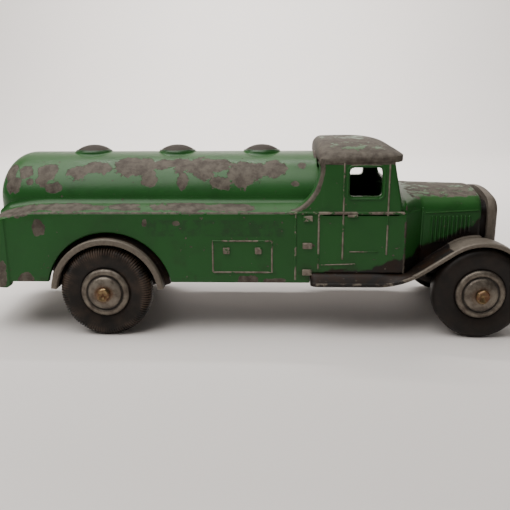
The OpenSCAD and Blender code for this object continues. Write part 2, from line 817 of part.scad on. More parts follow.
module tyre_front_left() tyre(front_axle_x, 1);

module tyre_front_right() tyre(front_axle_x, -1);

module tyre_rear_left() tyre(rear_axle_x, 1);

module tyre_rear_right() tyre(rear_axle_x, -1);

body_casting();
chassis_casting();
radiator();
front_rivet();
rear_rivet();
front_axle();
rear_axle();
hub_front_left();
hub_front_right();
hub_rear_left();
hub_rear_right();
tyre_front_left();
tyre_front_right();
tyre_rear_left();
tyre_rear_right();
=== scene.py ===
"""Looks of a cast toy tank wagon, built round its CAD model.

All sizes in the code are millimetres on the truck: X forward, Y to the driver's left, Z up, zero on
the ground under the middle. Meshes are written in metres.
"""

import functools
import math

import bmesh
import bpy
import numpy as np
from mathutils import Matrix, Vector


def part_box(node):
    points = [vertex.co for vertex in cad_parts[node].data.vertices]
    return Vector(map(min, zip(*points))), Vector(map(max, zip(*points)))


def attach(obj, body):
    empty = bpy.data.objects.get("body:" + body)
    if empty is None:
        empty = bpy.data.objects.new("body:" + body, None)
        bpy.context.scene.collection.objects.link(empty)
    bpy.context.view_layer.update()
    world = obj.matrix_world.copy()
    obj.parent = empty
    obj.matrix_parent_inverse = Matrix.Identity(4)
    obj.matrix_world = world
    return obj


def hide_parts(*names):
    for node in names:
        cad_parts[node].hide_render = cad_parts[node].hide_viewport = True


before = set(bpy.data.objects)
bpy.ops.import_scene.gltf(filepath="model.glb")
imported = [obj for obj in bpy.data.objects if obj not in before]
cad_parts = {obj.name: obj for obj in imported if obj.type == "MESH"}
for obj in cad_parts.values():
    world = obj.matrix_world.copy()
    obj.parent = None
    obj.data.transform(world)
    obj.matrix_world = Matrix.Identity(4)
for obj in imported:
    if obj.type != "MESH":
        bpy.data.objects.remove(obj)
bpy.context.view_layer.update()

bl_info = {
    "name": "Toy Tank Wagon",
    "version": (1, 0, 0),
    "blender": (4, 5, 0),
    "location": "View3D > Sidebar > Tank Wagon",
    "description": "Builds the visible surfaces of a cast toy tank wagon on its packed CAD model",
    "category": "Object",
}

MM = 0.001


def cad_box(node):
    """Lowest and highest corner of a CAD node in millimetres."""
    low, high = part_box(node)
    return np.array(low) / MM, np.array(high) / MM


BODY_LOW, BODY_HIGH = cad_box("body_casting")
GUARD_TIP, GUARD_Y = cad_box("chassis_casting")[1][:2]
RADIATOR_LOW, RADIATOR_HIGH = cad_box("radiator")
FRONT_TYRE_LOW, FRONT_TYRE_HIGH = cad_box("tyre_front_left")
REAR_TYRE_LOW, REAR_TYRE_HIGH = cad_box("tyre_rear_left")
AXLE_REACH = cad_box("front_axle")[1][1]

FRONT_X = (FRONT_TYRE_LOW[0] + FRONT_TYRE_HIGH[0]) / 2
REAR_X = (REAR_TYRE_LOW[0] + REAR_TYRE_HIGH[0]) / 2
TYRE_R = (REAR_TYRE_HIGH[2] - REAR_TYRE_LOW[2]) / 2
TYRE_IN, TYRE_W = FRONT_TYRE_LOW[1], FRONT_TYRE_HIGH[1] - FRONT_TYRE_LOW[1]
AXLE_Z = TYRE_R
TAIL_X = BODY_LOW[0]
HALF_W = 14.85
SILL_Z = AXLE_Z + 1.6
BELT_Z = SILL_Z + 13.2
LEDGE_Z = BELT_Z + 1.2
TANK_Z, TANK_HALF, TANK_SETBACK = SILL_Z + 22.6, 10.6, 4.0
EAVE_Z = SILL_Z + 22.1
ROOF_Z = BODY_HIGH[2]
BONNET_Z, BONNET_HALF, NOSE_HALF = SILL_Z + 16.2, 10.7, 9.3
CAB_X = FRONT_X - 29.1
SCUTTLE_X = CAB_X + 15.3
BONNET_X = SCUTTLE_X + 3.6
NOSE_X = BONNET_X + 11.3
SWEEP_X, SWEEP_L, SWEEP_H = CAB_X - 6.6, 6.7, 8.2
WINDOW = (CAB_X + 5.1, CAB_X + 10.9, EAVE_Z - 6.1, EAVE_Z - 0.9)
ARCH_X, ARCH_Z, ARCH_R, ARCH_HALF = REAR_X + 0.6, AXLE_Z - 0.84, 11.8, 11.54
WING_T = 0.8
WING_R = TYRE_R + 0.3 + WING_T
WING_SLOPE, WING_FLARE = 33.5, 28
BOARD_TOP = SILL_Z - 0.35 + 0.8
BOARD_CLIMB = 1.45
GUARD_X, GUARD_Z, GUARD_R = REAR_X + 0.4, AXLE_Z - 0.4, TYRE_R + 2.05
GUARD_IN, GUARD_EDGE = GUARD_Y - 6.0, 0.3
LUG_Y = GUARD_Y - 0.1 - 4.3 - 0.4
SIDES = (1, -1)
ENDS = (("front", FRONT_X), ("rear", REAR_X))


# ---------------------------------------------------------------- sizes and colours

def millimetres(name, about, value, low, high):
    """A length property that shows in millimetres."""
    return bpy.props.FloatProperty(
        name=name, description=about, default=value * MM, min=low * MM, max=high * MM,
        unit="LENGTH", precision=5)


def colour(name, about, code):
    """A colour property whose default comes from an sRGB hex code."""
    return bpy.props.FloatVectorProperty(
        name=name, description=about, default=linear(code), size=3, min=0.0, max=1.0, subtype="COLOR")


def linear(code):
    """Linear red, green and blue of an sRGB hex code."""
    parts = [int(code[i:i + 2], 16) / 255 for i in (1, 3, 5)]
    return tuple(c / 12.92 if c <= 0.04045 else ((c + 0.055) / 1.055) ** 2.4 for c in parts)


class WagonSizes(bpy.types.PropertyGroup):
    """Sizes that only the visible surfaces have."""

    wall: millimetres("Wall", "Thickness of the body casting", 1.4, 0.8, 2.0)
    edge: millimetres("Edge", "Radius that the casting's edges are rounded to", 0.28, 0.1, 0.5)
    line_w: millimetres("Line width", "Width of the raised lines on the sides", 0.35, 0.2, 0.7)
    line_h: millimetres("Line height", "Height of the raised lines on the sides", 0.16, 0.05, 0.3)
    tank_r: millimetres("Tank end", "Radius of the rounded rear edge of the tank", 5.0, 3.0, 8.0)
    tail_r: millimetres("Tail corner", "Plan radius of the corners of the tail", 7.2, 3.0, 9.0)
    louvre_pitch: millimetres("Louvre pitch", "Spacing of the louvres in the bonnet", 0.78, 0.5, 1.2)
    tread_depth: millimetres("Tread depth", "Depth of the fine ribs round the rear tyres", 0.17, 0.0, 0.3)
    tread_ribs: bpy.props.IntProperty(
        name="Tread ribs", description="Number of ribs round a rear tyre", default=104, min=24, max=160)


class WagonColours(bpy.types.PropertyGroup):
    """Colours of the paint, the bare metals and the rubber."""

    green: colour("Green enamel", "Deep brunswick green of the body", "#1b4a1d")
    # faded green is also laid on faces that point up as a painted sheen
    green_faded_and_sheen: colour("Faded green", "Green where light has bleached the enamel", "#3d5c33")
    zinc: colour("Bare zinc", "Dull zinc alloy where the paint has gone", "#5d574e")
    zinc_dark: colour("Dark zinc", "Oxide in the pits of the bare metal", "#3c352f")
    black: colour("Black enamel", "Thin black enamel of the chassis", "#15110f")
    rust: colour("Rust", "Brown rust round the axles", "#5a3a20")
    rubber: colour("Rubber", "Aged black rubber", "#171310")
    axle: colour("Axle wire", "Tarnished wire of the axles", "#7d6a4c")
    paper: colour("Backdrop", "Pale paper that the toy stands on", "#d9d4d0")


def sizes():
    return bpy.context.scene.wagon_sizes


def colours():
    return bpy.context.scene.wagon_colours


def mm(name):
    """A length property in millimetres."""
    return getattr(sizes(), name) / MM


# ---------------------------------------------------------------- surfaces

QUARTER = np.radians([0, 30, 60, 90])


def held(value):
    """A value held between 0 and 1."""
    return np.clip(value, 0, 1)


def unit(vectors):
    """Rows of vectors made 1 long."""
    return vectors / np.maximum(np.linalg.norm(vectors, axis=1, keepdims=True), 1e-9)


def turned(vectors):
    """Rows of flat vectors turned a quarter to the left."""
    return np.stack([-vectors[:, 1], vectors[:, 0]], 1)


def arc(cx, cy, r, start, stop, steps):
    """Points on a circle of radius r between two angles in degrees, both ends included."""
    a = np.radians(np.linspace(start, stop, steps + 1))
    return np.stack([cx + r * np.cos(a), cy + r * np.sin(a)], 1)


def grid(points, wrap_u=False, wrap_v=False, cap_u=False):
    """Faces of a grid of points[u, v].

    Neighbours along u and along v make a quad. wrap joins the last row or column to the first, and
    cap_u closes the first and last loop with one flat face each.
    """
    nu, nv = points.shape[:2]
    index = np.arange(nu * nv).reshape(nu, nv)
    if wrap_u:
        index = np.vstack([index, index[:1]])
    if wrap_v:
        index = np.hstack([index, index[:, :1]])
    quads = np.stack([index[:-1, :-1], index[1:, :-1], index[1:, 1:], index[:-1, 1:]], -1)
    faces = quads.reshape(-1, 4).tolist()
    if cap_u:
        faces += [list(range(nv)), list(range((nu - 1) * nv, nu * nv))[::-1]]
    return points.reshape(-1, 3), faces


def tube(x, y, z):
    """A closed tube, capped at both ends, whose points[u, v] are given by coordinate."""
    return grid(np.stack(np.broadcast_arrays(x, y, z), -1), wrap_v=True, cap_u=True)


def mesh_piece(name, parts):
    """One object from several (points, faces) parts in millimetres, doubles merged, normals outwards."""
    merge, sharp = 0.002 * MM, math.radians(38)
    points, faces, start = [], [], 0
    for part_points, part_faces in parts:
        points.append(part_points)
        faces.extend([[i + start for i in face] for face in part_faces])
        start += len(part_points)
    mesh = bpy.data.meshes.new(name)
    mesh.from_pydata((np.vstack(points) * MM).tolist(), [], faces)
    work = bmesh.new()
    work.from_mesh(mesh)
    bmesh.ops.remove_doubles(work, verts=work.verts, dist=merge)
    bmesh.ops.dissolve_degenerate(work, dist=merge * 0.5, edges=work.edges)
    bmesh.ops.recalc_face_normals(work, faces=work.faces)
    work.to_mesh(mesh)
    work.free()
    mesh.polygons.foreach_set("use_smooth", [True] * len(mesh.polygons))
    mesh.set_sharp_from_angle(angle=sharp)
    piece = bpy.data.objects.new(name, mesh)
    bpy.context.scene.collection.objects.link(piece)
    return piece


def fit(piece, body, slot, material, *nodes):
    """The piece rides on a body, takes a material and stands for its CAD nodes; slot is not used."""
    piece.data.materials.clear()
    piece.data.materials.append(material)
    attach(piece, body)
    if nodes:
        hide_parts(*nodes)


def mirrored(parts):
    """The parts and their mirror images across the centre line."""
    return parts + [(points * [1, -1, 1], [face[::-1] for face in faces]) for points, faces in parts]


def inset_loop(outline, d):
    """A closed outline moved inwards by d along the mean of its edges' normals."""
    ahead = unit(np.roll(outline, -1, 0) - outline)
    mean = unit(ahead + np.roll(ahead, 1, 0))
    x, y = outline.T
    area = np.sum(x * np.roll(y, -1) - np.roll(x, -1) * y)
    widen = 1 / np.clip(np.sum(mean * ahead, 1), 0.5, 1)
    return outline + turned(mean) * np.sign(area) * d * widen[:, None]


def prism(outline, low, high, r, axes="xzy"):
    """A flat outline drawn out from low to high with its rims rounded to r.

    Each ring is the outline inset by r - r cos(a) while the height runs r sin(a) short of the end.
    axes names the two directions of the outline and the direction that it is drawn along.
    """
    steps = [(low + r * (1 - math.sin(t)), r * (1 - math.cos(t))) for t in QUARTER[::-1]]
    steps += [(high - (z - low), d) for z, d in steps[::-1]]
    *flat, along = ["xyz".index(c) for c in axes]
    rings = np.zeros((len(steps), len(outline), 3))
    for ring, (level, d) in zip(rings, steps):
        ring[:, flat] = inset_loop(np.array(outline), d) if d > 0 else outline
        ring[:, along] = level
    return grid(rings, wrap_v=True, cap_u=True)


def lathe(profile, x, y, side, steps, wobble=None, closed=False):
    """A profile of (radius, distance outwards) turned round a wheel's axis.

    side is 1 on the left and -1 on the right. wobble adds to the radius by row and angle, and a
    closed profile is joined from its last row to its first.
    """
    profile = np.array(profile)
    angle = np.linspace(0, 2 * math.pi, steps, endpoint=False)
    radius = profile[:, :1] + (wobble(profile, angle) if wobble else 0 * angle)
    points = [x + radius * np.sin(angle), side * (y + profile[:, 1:]), AXLE_Z + radius * np.cos(angle)]
    return grid(np.stack(np.broadcast_arrays(*points), -1), wrap_u=closed, wrap_v=True)


def bead(path, width, height, side, y_of):
    """A raised half round line along a path of (x, z) on a side of the body.

    The section is half an ellipse over the surface y_of(x), tapered to nothing at both ends
    as sqrt(1 - t^2), and its foot is sunk so that it is closed under the paint.
    """
    sunk, pitch, cap = 0.12, 0.8, width / 2
    path = np.array(path, float)
    length = np.concatenate([[0], np.cumsum(np.linalg.norm(np.diff(path, axis=0), axis=1))])
    ends = cap * (1 - np.cos(QUARTER))
    count = max(6, int(length[-1] / pitch))
    at = np.unique(np.round(np.concatenate([
        ends, np.linspace(cap, length[-1] - cap, count), length, length[-1] - ends]), 5))
    at = at[(at >= 0) & (at <= length[-1])]
    line = np.stack([np.interp(at, length, path[:, 0]), np.interp(at, length, path[:, 1])], 1)
    normal = turned(unit(np.gradient(line, at, axis=0)))
    near_end = held(np.minimum(at, length[-1] - at) / cap)
    taper = np.sqrt(np.clip(1 - (1 - near_end) ** 2, 0.02, 1))[:, None]
    a = np.radians(np.linspace(0, 180, 7))
    across = np.concatenate([np.cos(a), [-1, 1]]) * width / 2 * taper
    up = np.concatenate([np.sin(a) * height, [-sunk, -sunk]])
    x, z = (line[:, i, None] + normal[:, i, None] * across for i in (0, 1))
    return tube(x, side * (y_of(x) + np.where(up > 0, up * taper, up)), z)


# ---------------------------------------------------------------- shape of the body

def belt(x):
    """Height of the belt line: level, then falling on a 40 mm arc towards the tail."""
    fall, r = np.clip(TAIL_X + 16 - x, 0, None), 40
    return BELT_Z - (r - np.sqrt(r ** 2 - fall ** 2))


def wing_line(in_by=0.0):
    """Top line of running board and wing in X and Z, and its normals, from the board to the wing's tip.

    A level board, a wide hollow sweep, a straight climb, an arc round the wheel and a flared tip,
    moved in by a distance towards the wheel.
    """
    slope, flare, sweep = math.radians(WING_SLOPE), math.radians(WING_FLARE), 14.2
    top_x, top_z = FRONT_X - WING_R * math.sin(slope), AXLE_Z + WING_R * math.cos(slope)
    sweep_x = top_x - (top_z - BOARD_TOP) / math.tan(slope) - sweep * math.tan(slope / 2)
    board_x = np.concatenate([sweep_x - 12.1 + np.array([0.0, 0.05, 0.15, 0.35, 0.65, 1.0]),
                              np.linspace(sweep_x - 10.7, sweep_x - 0.5, 12)])
    board = np.stack([board_x, np.full(len(board_x), BOARD_TOP)], 1)
    hollow = arc(sweep_x, BOARD_TOP + sweep, sweep, -90, -90 + WING_SLOPE, 14)
    crest = arc(FRONT_X, AXLE_Z, WING_R, 90 + WING_SLOPE, WING_FLARE, 48)
    climb = hollow[-1] + (crest[0] - hollow[-1]) * np.linspace(0, 1, 8)[1:-1, None]
    end = crest[-1]
    tip = np.array([GUARD_TIP, end[1] - (GUARD_TIP - end[0]) / math.tan(flare)])
    lip = end + (tip - end) * np.linspace(0, 1, 6)[1:, None]
    line = np.vstack([board, hollow, climb, crest, lip])
    normal = turned(unit(np.gradient(line, axis=0)))
    return line - normal * in_by, normal


def under_body(x):
    """Height of the bottom edge of the body: sill, board seat, then the top of the wing."""
    line, _ = wing_line(-0.1)
    board_x = line[0, 0]
    line = line[line[:, 0] <= FRONT_X + 4]
    over = np.interp(x, line[:, 0], line[:, 1])
    return np.where(x < board_x - 0.1, SILL_Z, np.maximum(BOARD_TOP + BOARD_CLIMB, over))


def plan_path():
    """Outer outline of skirts and cab sides in plan, from the left scuttle round the tail to the right."""
    r = mm("tail_r")
    board_x = wing_line()[0][0, 0]
    arch = ARCH_X + ARCH_HALF * np.cos(np.radians(np.linspace(0, 180, 61)))
    panel_x = TAIL_X + r
    xs = np.concatenate([
        np.linspace(SCUTTLE_X, board_x + 1, 18), board_x + np.array([0.1, -0.06, -0.1, -0.14, -0.5]),
        np.linspace(board_x - 1, arch[0] + 0.6, 26), [arch[0] + 0.02], arch, [arch[-1] - 0.02],
        np.linspace(arch[-1] - 0.5, panel_x + 1, 8), panel_x + np.array([0.5, 0.3, 0.15, 0.0])])
    half = np.vstack([
        [[BONNET_X, BONNET_HALF]], np.stack([xs, np.full(len(xs), HALF_W)], 1),
        arc(panel_x, HALF_W - r, r, 90, 180, 20)[1:],
        [[TAIL_X, y] for y in np.linspace(HALF_W - r, 0, 7)[1:]]])
    return np.vstack([half, half[-2::-1] * [1, -1]])


def skirt_shell():
    """Skirts, ledge and lower cab as one band.

    A closed profile goes round the plan outline: up the outer face, over the belt edge, up the
    sloping ledge, through a hollow fillet into the foot of the tank, and down the inner face. Its
    lower edge follows sill, wheel arch, board and wing, and the end panel stands proud of the sides.
    """
    path = plan_path()
    x, y = path.T
    r, wall, e, bend, proud = mm("tail_r"), mm("wall"), mm("edge"), 1.2, 0.22
    inward = turned(unit(np.gradient(path, axis=0)))
    on_side = np.abs(np.abs(y) - HALF_W) < 1e-6
    inward[on_side] = np.stack([0 * y, -np.sign(y)], 1)[on_side]
    panel = held((TAIL_X + r + 0.3 - x) / 0.3)
    arch_z = ARCH_Z + np.sqrt(np.clip(ARCH_R ** 2 - (x - ARCH_X) ** 2, 0, None))
    arch = np.abs(x - ARCH_X) <= ARCH_HALF + 0.001
    low = np.where(arch, np.maximum(arch_z, SILL_Z), under_body(x))
    low = low - 1.2 * np.sqrt(held(1 - (1 - held(TAIL_X + r + 0.3 - x)) ** 2))
    top = belt(x)
    in_cab = held((x - CAB_X + 0.8) / 0.4)
    tank_side = HALF_W - TANK_HALF
    round_tail = np.sin(held((TAIL_X + r - x) / r) * math.pi / 2) ** 2
    ledge = (tank_side + (TANK_SETBACK - tank_side) * round_tail) * (1 - in_cab) + 1.4 * in_cab
    rise = 1.2 * (1 - in_cab) * 0.75
    shoulder = 1.3 * e
    rows = [(e * (1 - math.sin(a)), low + e * (1 - math.cos(a))) for a in QUARTER]
    rows += [(0.0, low + e + (top - 2 * e - low) * t) for t in np.linspace(0.08, 0.9, 5)]
    rows += [(shoulder * (1 - math.cos(a)), top - shoulder * (1 - math.sin(a)))
             for a in np.radians([0, 22, 45, 67, 90])]
    rows += [(shoulder + (ledge - bend - shoulder) * t, top + rise * t) for t in (0.3, 0.6, 1.0)]
    rows += [(ledge - bend * (1 - math.sin(a)), top + rise + bend * (1 - math.cos(a)) * (1 - in_cab))
             for a in np.radians([25, 50, 75, 90])]
    foot = ledge + 0.5 * (1 - in_cab)
    rows += [(foot, top + rise + bend * (1 - in_cab)), (foot, top - 0.8), (wall, top - wall),
             (wall, low + e), (wall - e, low)]
    points = np.zeros((len(x), len(rows), 3))
    for i, (q, z) in enumerate(rows):
        points[:, i, :2] = path + inward * (q - panel * proud * (0 < i < 11))[:, None]
        points[:, i, 2] = z
    return grid(points, wrap_v=True, cap_u=True)


def tank_shell():
    """Tank as stations along X of one section: half an ellipse on upright sides.

    Near the rear the section shrinks by R - sqrt(R^2 - (R - u)^2), a quarter round, and on the end
    face it shrinks on to a flat foot.
    """
    r, start = mm("tank_r"), TAIL_X + TANK_SETBACK
    stations = [(start, 7.6)] + [(start + r * (1 - math.cos(t)), r * (1 - math.sin(t)))
                                 for t in np.radians(np.linspace(0, 90, 15))]
    stations += [(x, 0.0) for x in np.linspace(start + r + 1, CAB_X + 0.4, 48)]
    turn = np.radians(np.linspace(0, 180, 73))
    rings = []
    for x, d in stations:
        half, low = TANK_HALF - d, belt(np.array(x)) - 1.0
        over = np.stack([np.full(len(turn), x), half * np.cos(turn),
                         LEDGE_Z + (TANK_Z - LEDGE_Z - d) * np.sin(turn) ** 0.96], 1)
        rings.append(np.vstack([over, [[x, -half, low], [x, half, low]]]))
    return grid(np.array(rings), wrap_v=True, cap_u=True)


def tank_height(y):
    """Height of the tank's skin at a distance from the centre line."""
    return LEDGE_Z + (TANK_Z - LEDGE_Z) * np.sqrt(held(1 - (y / TANK_HALF) ** 2)) ** 0.96


def filler_cap(x):
    """Filler cap: a dome whose foot is flared to lie on the curved tank.

    The dome falls as (r / R)^2.3 from its crown to the top line of the tank; outside it a short
    hollow flare follows the height of the tank's skin.
    """
    angle = np.linspace(0, 2 * math.pi, 72, endpoint=False)
    top, wide = TANK_Z + 1.35, 3.4
    flare = [(4.1, -0.15), (3.9, -0.02), (3.75, 0.02), (3.63, 0.08), (3.55, 0.18), (3.48, 0.32)]
    dome = [3.44, 3.4, 3.3, 3.12, 2.9, 2.55, 2.1, 1.6, 1.1, 0.6, 0.0]
    rings = []
    for radius, lift in flare + [(radius, None) for radius in dome]:
        px, py = x + radius * np.sin(angle), radius * np.cos(angle)
        if lift is None:
            z = np.maximum(top - 1.1 * (radius / wide) ** 2.3, tank_height(py) + 0.05)
            z = z - 0.06 * (radius > wide - 0.01)
        else:
            z = tank_height(py) + lift
        rings.append(np.stack([px, py, z], 1))
    return grid(np.array(rings), wrap_v=True)


def sweep_web():
    """Webs that carry the rear edges of the cab down to the ledge: a quarter ellipse drawn out across Y."""
    a = np.radians(np.linspace(-90, 0, 17))
    curve = np.stack([SWEEP_X + SWEEP_L * np.cos(a), BELT_Z + SWEEP_H + SWEEP_H * np.sin(a)], 1)
    outline = np.vstack([curve, [[CAB_X + 0.1, EAVE_Z + 0.2], [CAB_X + 1.2, EAVE_Z + 0.2],
                                 [CAB_X + 1.2, BELT_Z - 2], [SWEEP_X, BELT_Z - 2]]])
    return mirrored([prism(outline, 8.5, HALF_W - 0.004, 0.4)])


def front_face(z):
    """X of the raked front of the cab at a height."""
    foot = BONNET_Z + 0.4
    return SCUTTLE_X - 1.2 - 1.1 * np.clip((z - foot) / (EAVE_Z - foot), -0.4, 1)


def rounded_hole(a, z, box, r):
    """Pulls grid points round the corners of an opening into a rounded rectangle.

    Each point keeps its ray from the middle; the ray is shortened by the ratio of the rounded to
    the square outline, and the pull fades out to 1.35 times the opening.
    """
    a0, a1, z0, z1 = box
    fade_out = 1.35
    ha, hz = (a1 - a0) / 2, (z1 - z0) / 2
    u, v = a - (a0 + a1) / 2, z - (z0 + z1) / 2
    square = np.maximum(np.abs(u) / ha, np.abs(v) / hz)
    safe = np.maximum(square, 1e-6)
    eu, ev = np.abs(u) / safe, np.abs(v) / safe
    cu, cv = ha - r, hz - r
    b, m2, c = eu * cu + ev * cv, eu ** 2 + ev ** 2, cu ** 2 + cv ** 2 - r ** 2
    reach = (b + np.sqrt(np.clip(b ** 2 - m2 * c, 0, None))) / m2
    ratio = np.where((eu > cu) & (ev > cv), reach, 1.0)
    fade = held((fade_out - square) / (fade_out - 1))
    ratio = 1 + (ratio - 1) * np.where(square >= 0.999, fade, 0)
    return (a0 + a1) / 2 + u * ratio, (z0 + z1) / 2 + v * ratio


def cab_shell():
    """Upper cab: a band round the plan of the cab, pierced by side windows and a split screen.

    Columns run round the plan and rows up the height. Cells inside an opening are left out, the
    corners of each opening are rounded, and Solidify gives the casting its wall.
    """
    left, right, low, high = WINDOW
    screen = in_by, out_by, foot, head = 1.25, 12.3, BONNET_Z + 0.75, BONNET_Z + 4.35
    c, r = 0.8, 0.5
    side_x = [CAB_X + r, CAB_X + 1.5, CAB_X + 3.2, left - 0.6, left, left + 0.35 * c, left + c, left + 1.9,
              right - 1.9, right - c, right - 0.35 * c, right, right + 0.5]
    front_y = [HALF_W - r - 0.6, out_by, 12.0, 11.4, 9.0, 6.5, 4.0, 2.1, 1.5, in_by]
    rows = np.unique(np.round([
        BELT_Z - 0.6, BELT_Z + 0.6, BELT_Z + 1.6, low - 0.5, low, low + 0.35 * c, low + c,
        foot - 0.25, foot, foot + 0.25, foot + 0.7, 28.4, 29.4, head - 0.7, head - 0.25, head,
        high - c, high - 0.35 * c, high, high + 0.45, EAVE_Z + 0.6], 4))
    rows = rows[np.concatenate([[True], np.diff(rows) > 0.05])]
    rear = np.vstack([[[CAB_X, y] for y in (0, 4.5, 9, HALF_W - r)],
                      arc(CAB_X + r, HALF_W - r, r, 180, 90, 4)[1:-1], [[x, HALF_W] for x in side_x]])
    loops = []
    for fx in front_face(rows):
        half = np.vstack([rear, [[fx - 0.5 - r, HALF_W]], arc(fx - r, HALF_W - r, r, 90, 0, 4),
                          [[fx, y] for y in front_y]])
        loops.append(np.vstack([half, [[fx, 0]], half[:0:-1] * [1, -1]]))
    x, y = np.moveaxis(np.array(loops), 2, 0)
    z = np.repeat(rows[:, None], x.shape[1], 1)
    on_side = np.abs(np.abs(y) - HALF_W) < 1e-6
    on_front = (np.abs(y) < HALF_W - r) & (x > CAB_X + 8)
    side_x, side_z = rounded_hole(x, z, WINDOW, c)
    front_y, front_z = rounded_hole(np.abs(y), z, screen, 0.6)
    new_z = np.where(on_front, front_z, np.where(on_side, side_z, z))
    points = np.stack([np.where(on_front, front_face(new_z), np.where(on_side, side_x, x)),
                       np.where(on_front, np.sign(y) * front_y, y), new_z], -1)
    flat, faces = grid(points, wrap_v=True)
    middles = np.stack([x, np.abs(y), z], -1).reshape(-1, 3)[np.array(faces)].mean(1)
    kept = [face for face, (x, y, z) in zip(faces, middles) if not (
        abs(y - HALF_W) < 1e-6 and left < x < right and low < z < high
        or x > CAB_X + 8 and in_by < y < out_by and foot < z < head)]
    return flat, kept


def cast_wall(cab):
    """Gives the cab its wall, thin round the screen at the front, and rounds its edges."""
    thin, front = 0.42, 0.2
    group = cab.vertex_groups.new(name="Wall share")
    shares = np.array([thin if v.co.x > (front_face(v.co.z / MM) - front) * MM else 1.0
                       for v in cab.data.vertices])
    for share in (thin, 1.0):
        group.add(np.nonzero(shares == share)[0].tolist(), share, "REPLACE")
    wall = cab.modifiers.new("Casting wall", "SOLIDIFY")
    wall.thickness = sizes().wall
    wall.offset = -1
    wall.vertex_group = group.name
    edge = cab.modifiers.new("Cast edge", "BEVEL")
    edge.width = sizes().edge * 0.6
    edge.segments = 2
    edge.limit_method = "ANGLE"
    edge.angle_limit = math.radians(50)
    edge.harden_normals = False


def roof_shell():
    """Cab roof as stations along X of one section: half an ellipse over a short upright rim.

    At the rear the section shrinks round a quarter circle on to a flat rear face. Over the last
    part the crown falls to the visor as 1 - t^2.8, the rim rises a little and the plan corners
    are rounded as (1 - t^2)^(1/2).
    """
    x0, x1, half, r, visor = CAB_X - 0.3, front_face(EAVE_Z) + 1.65, HALF_W + 0.1, 1.3, 3.0
    stations = [(x0, r + 5.0)] + [(x0 + r * (1 - math.cos(t)), r * (1 - math.sin(t)))
                                  for t in np.radians(np.linspace(0, 90, 8))]
    stations += [(x, 0.0) for x in np.linspace(x0 + r + 0.8, x1 - visor, 16)]
    stations += [(x1 - visor * (1 - math.sin(t)), 0.0) for t in np.radians(np.linspace(8, 90, 14))]
    b = np.radians(np.linspace(0, 180, 53))
    rings = []
    for x, d in stations:
        fall = held((x - (x1 - 9.5)) / 9.5) ** 2.8
        lip = 0.35 + 0.5 * held((x - (x1 - 7)) / 7)
        back = held((CAB_X + 5 - x) / 5) ** 2
        rim = EAVE_Z - 0.1 + 0.35 * held((x - CAB_X) / 15) - 0.3 * back
        crown = ROOF_Z - 0.12 * back - (ROOF_Z - rim - 1.25) * fall
        plan = held((x - (x1 - 2.6)) / 2.6)
        wide = half - d - 3.2 * (1 - math.sqrt(1 - 0.98 * plan ** 2))
        over = np.stack([np.full(len(b), x), wide * np.cos(b), rim + lip
                         + (crown - d - rim - lip) * np.sin(b) ** 0.95 * (1 - 0.6 * plan ** 3)], 1)
        foot = (-wide, rim), (0.25 - wide, rim - 0.25), (wide - 0.25, rim - 0.25), (wide, rim)
        rings.append(np.vstack([over, [[x, y, z] for y, z in foot]]))
    return grid(np.array(rings), wrap_v=True, cap_u=True)


def hood_section(half, top, r, low):
    """Half section of bonnet or radiator from its foot to the crown, 20 points."""
    drop = 0.085 * half
    shoulder = arc(half - r, top - drop - r, r, 0, 76, 10)
    y, z = shoulder[-1]
    t = np.linspace(0, 1, 9)[1:]
    crown = np.stack([y * (1 - t), z + (top - z) * (1 - (1 - t) ** 2)], 1)
    return np.vstack([[[half, low], [half, top - drop - r - 2.0]], shoulder, crown])


def hood_ring(x, half, top, r, low):
    """Whole section of bonnet or radiator at a place along X."""
    section = hood_section(half, top, r, low)
    ring = np.vstack([section, section[-2::-1] * [-1, 1]])
    return np.column_stack([np.full(len(ring), x), ring])


def bonnet_half(x):
    """Half width of scuttle and bonnet: full width at the cab, tapering to the bonnet, then slowly."""
    return np.interp(x, [SCUTTLE_X, BONNET_X, NOSE_X], [HALF_W - 0.02, BONNET_HALF, NOSE_HALF])


def bonnet_shell():
    """Scuttle, bonnet and nose as stations along X of one rounded section."""
    r, fall, nose = 2.8, 0.28, 0.45
    stations = [(x, HALF_W - 0.5, BONNET_Z - 0.25, 0.9) for x in (SCUTTLE_X - 1.9, SCUTTLE_X - 0.3)]
    for t in np.linspace(0, 1, 10):
        x = SCUTTLE_X + t * (BONNET_X - SCUTTLE_X)
        hollow = 0.25 * math.sin(math.pi * t)
        stations.append((x, bonnet_half(x) - hollow, BONNET_Z - 0.1 + 0.1 * t, 0.9 + 1.9 * t))
    for x in np.linspace(BONNET_X + 0.4, NOSE_X - 0.5, 18):
        stations.append((x, bonnet_half(x), BONNET_Z - fall * (x - BONNET_X) / (NOSE_X - BONNET_X), r))
    for a in QUARTER:
        back = nose * (1 - math.cos(a))
        stations.append((NOSE_X - nose + nose * math.sin(a), NOSE_HALF - back, BONNET_Z - fall - back, r))
    stations += [(NOSE_X + reach, 8.2, BONNET_Z - 1.75, 2.4) for reach in (0.02, 2.5)]
    rings = [hood_ring(*station, float(under_body(np.array(station[0]))) - 0.5) for station in stations]
    return grid(np.array(rings), wrap_v=True, cap_u=True)


def rounded_rectangle(x0, x1, z0, z1, r, steps=5):
    """Rectangle with rounded corners."""
    return np.vstack([arc(x1 - r, z0 + r, r, -90, 0, steps), arc(x1 - r, z1 - r, r, 0, 90, steps),
                      arc(x0 + r, z1 - r, r, 90, 180, steps), arc(x0 + r, z0 + r, r, 180, 270, steps)])


def flat_side(x):
    """Y of the cab side and skirts."""
    return HALF_W + 0 * x


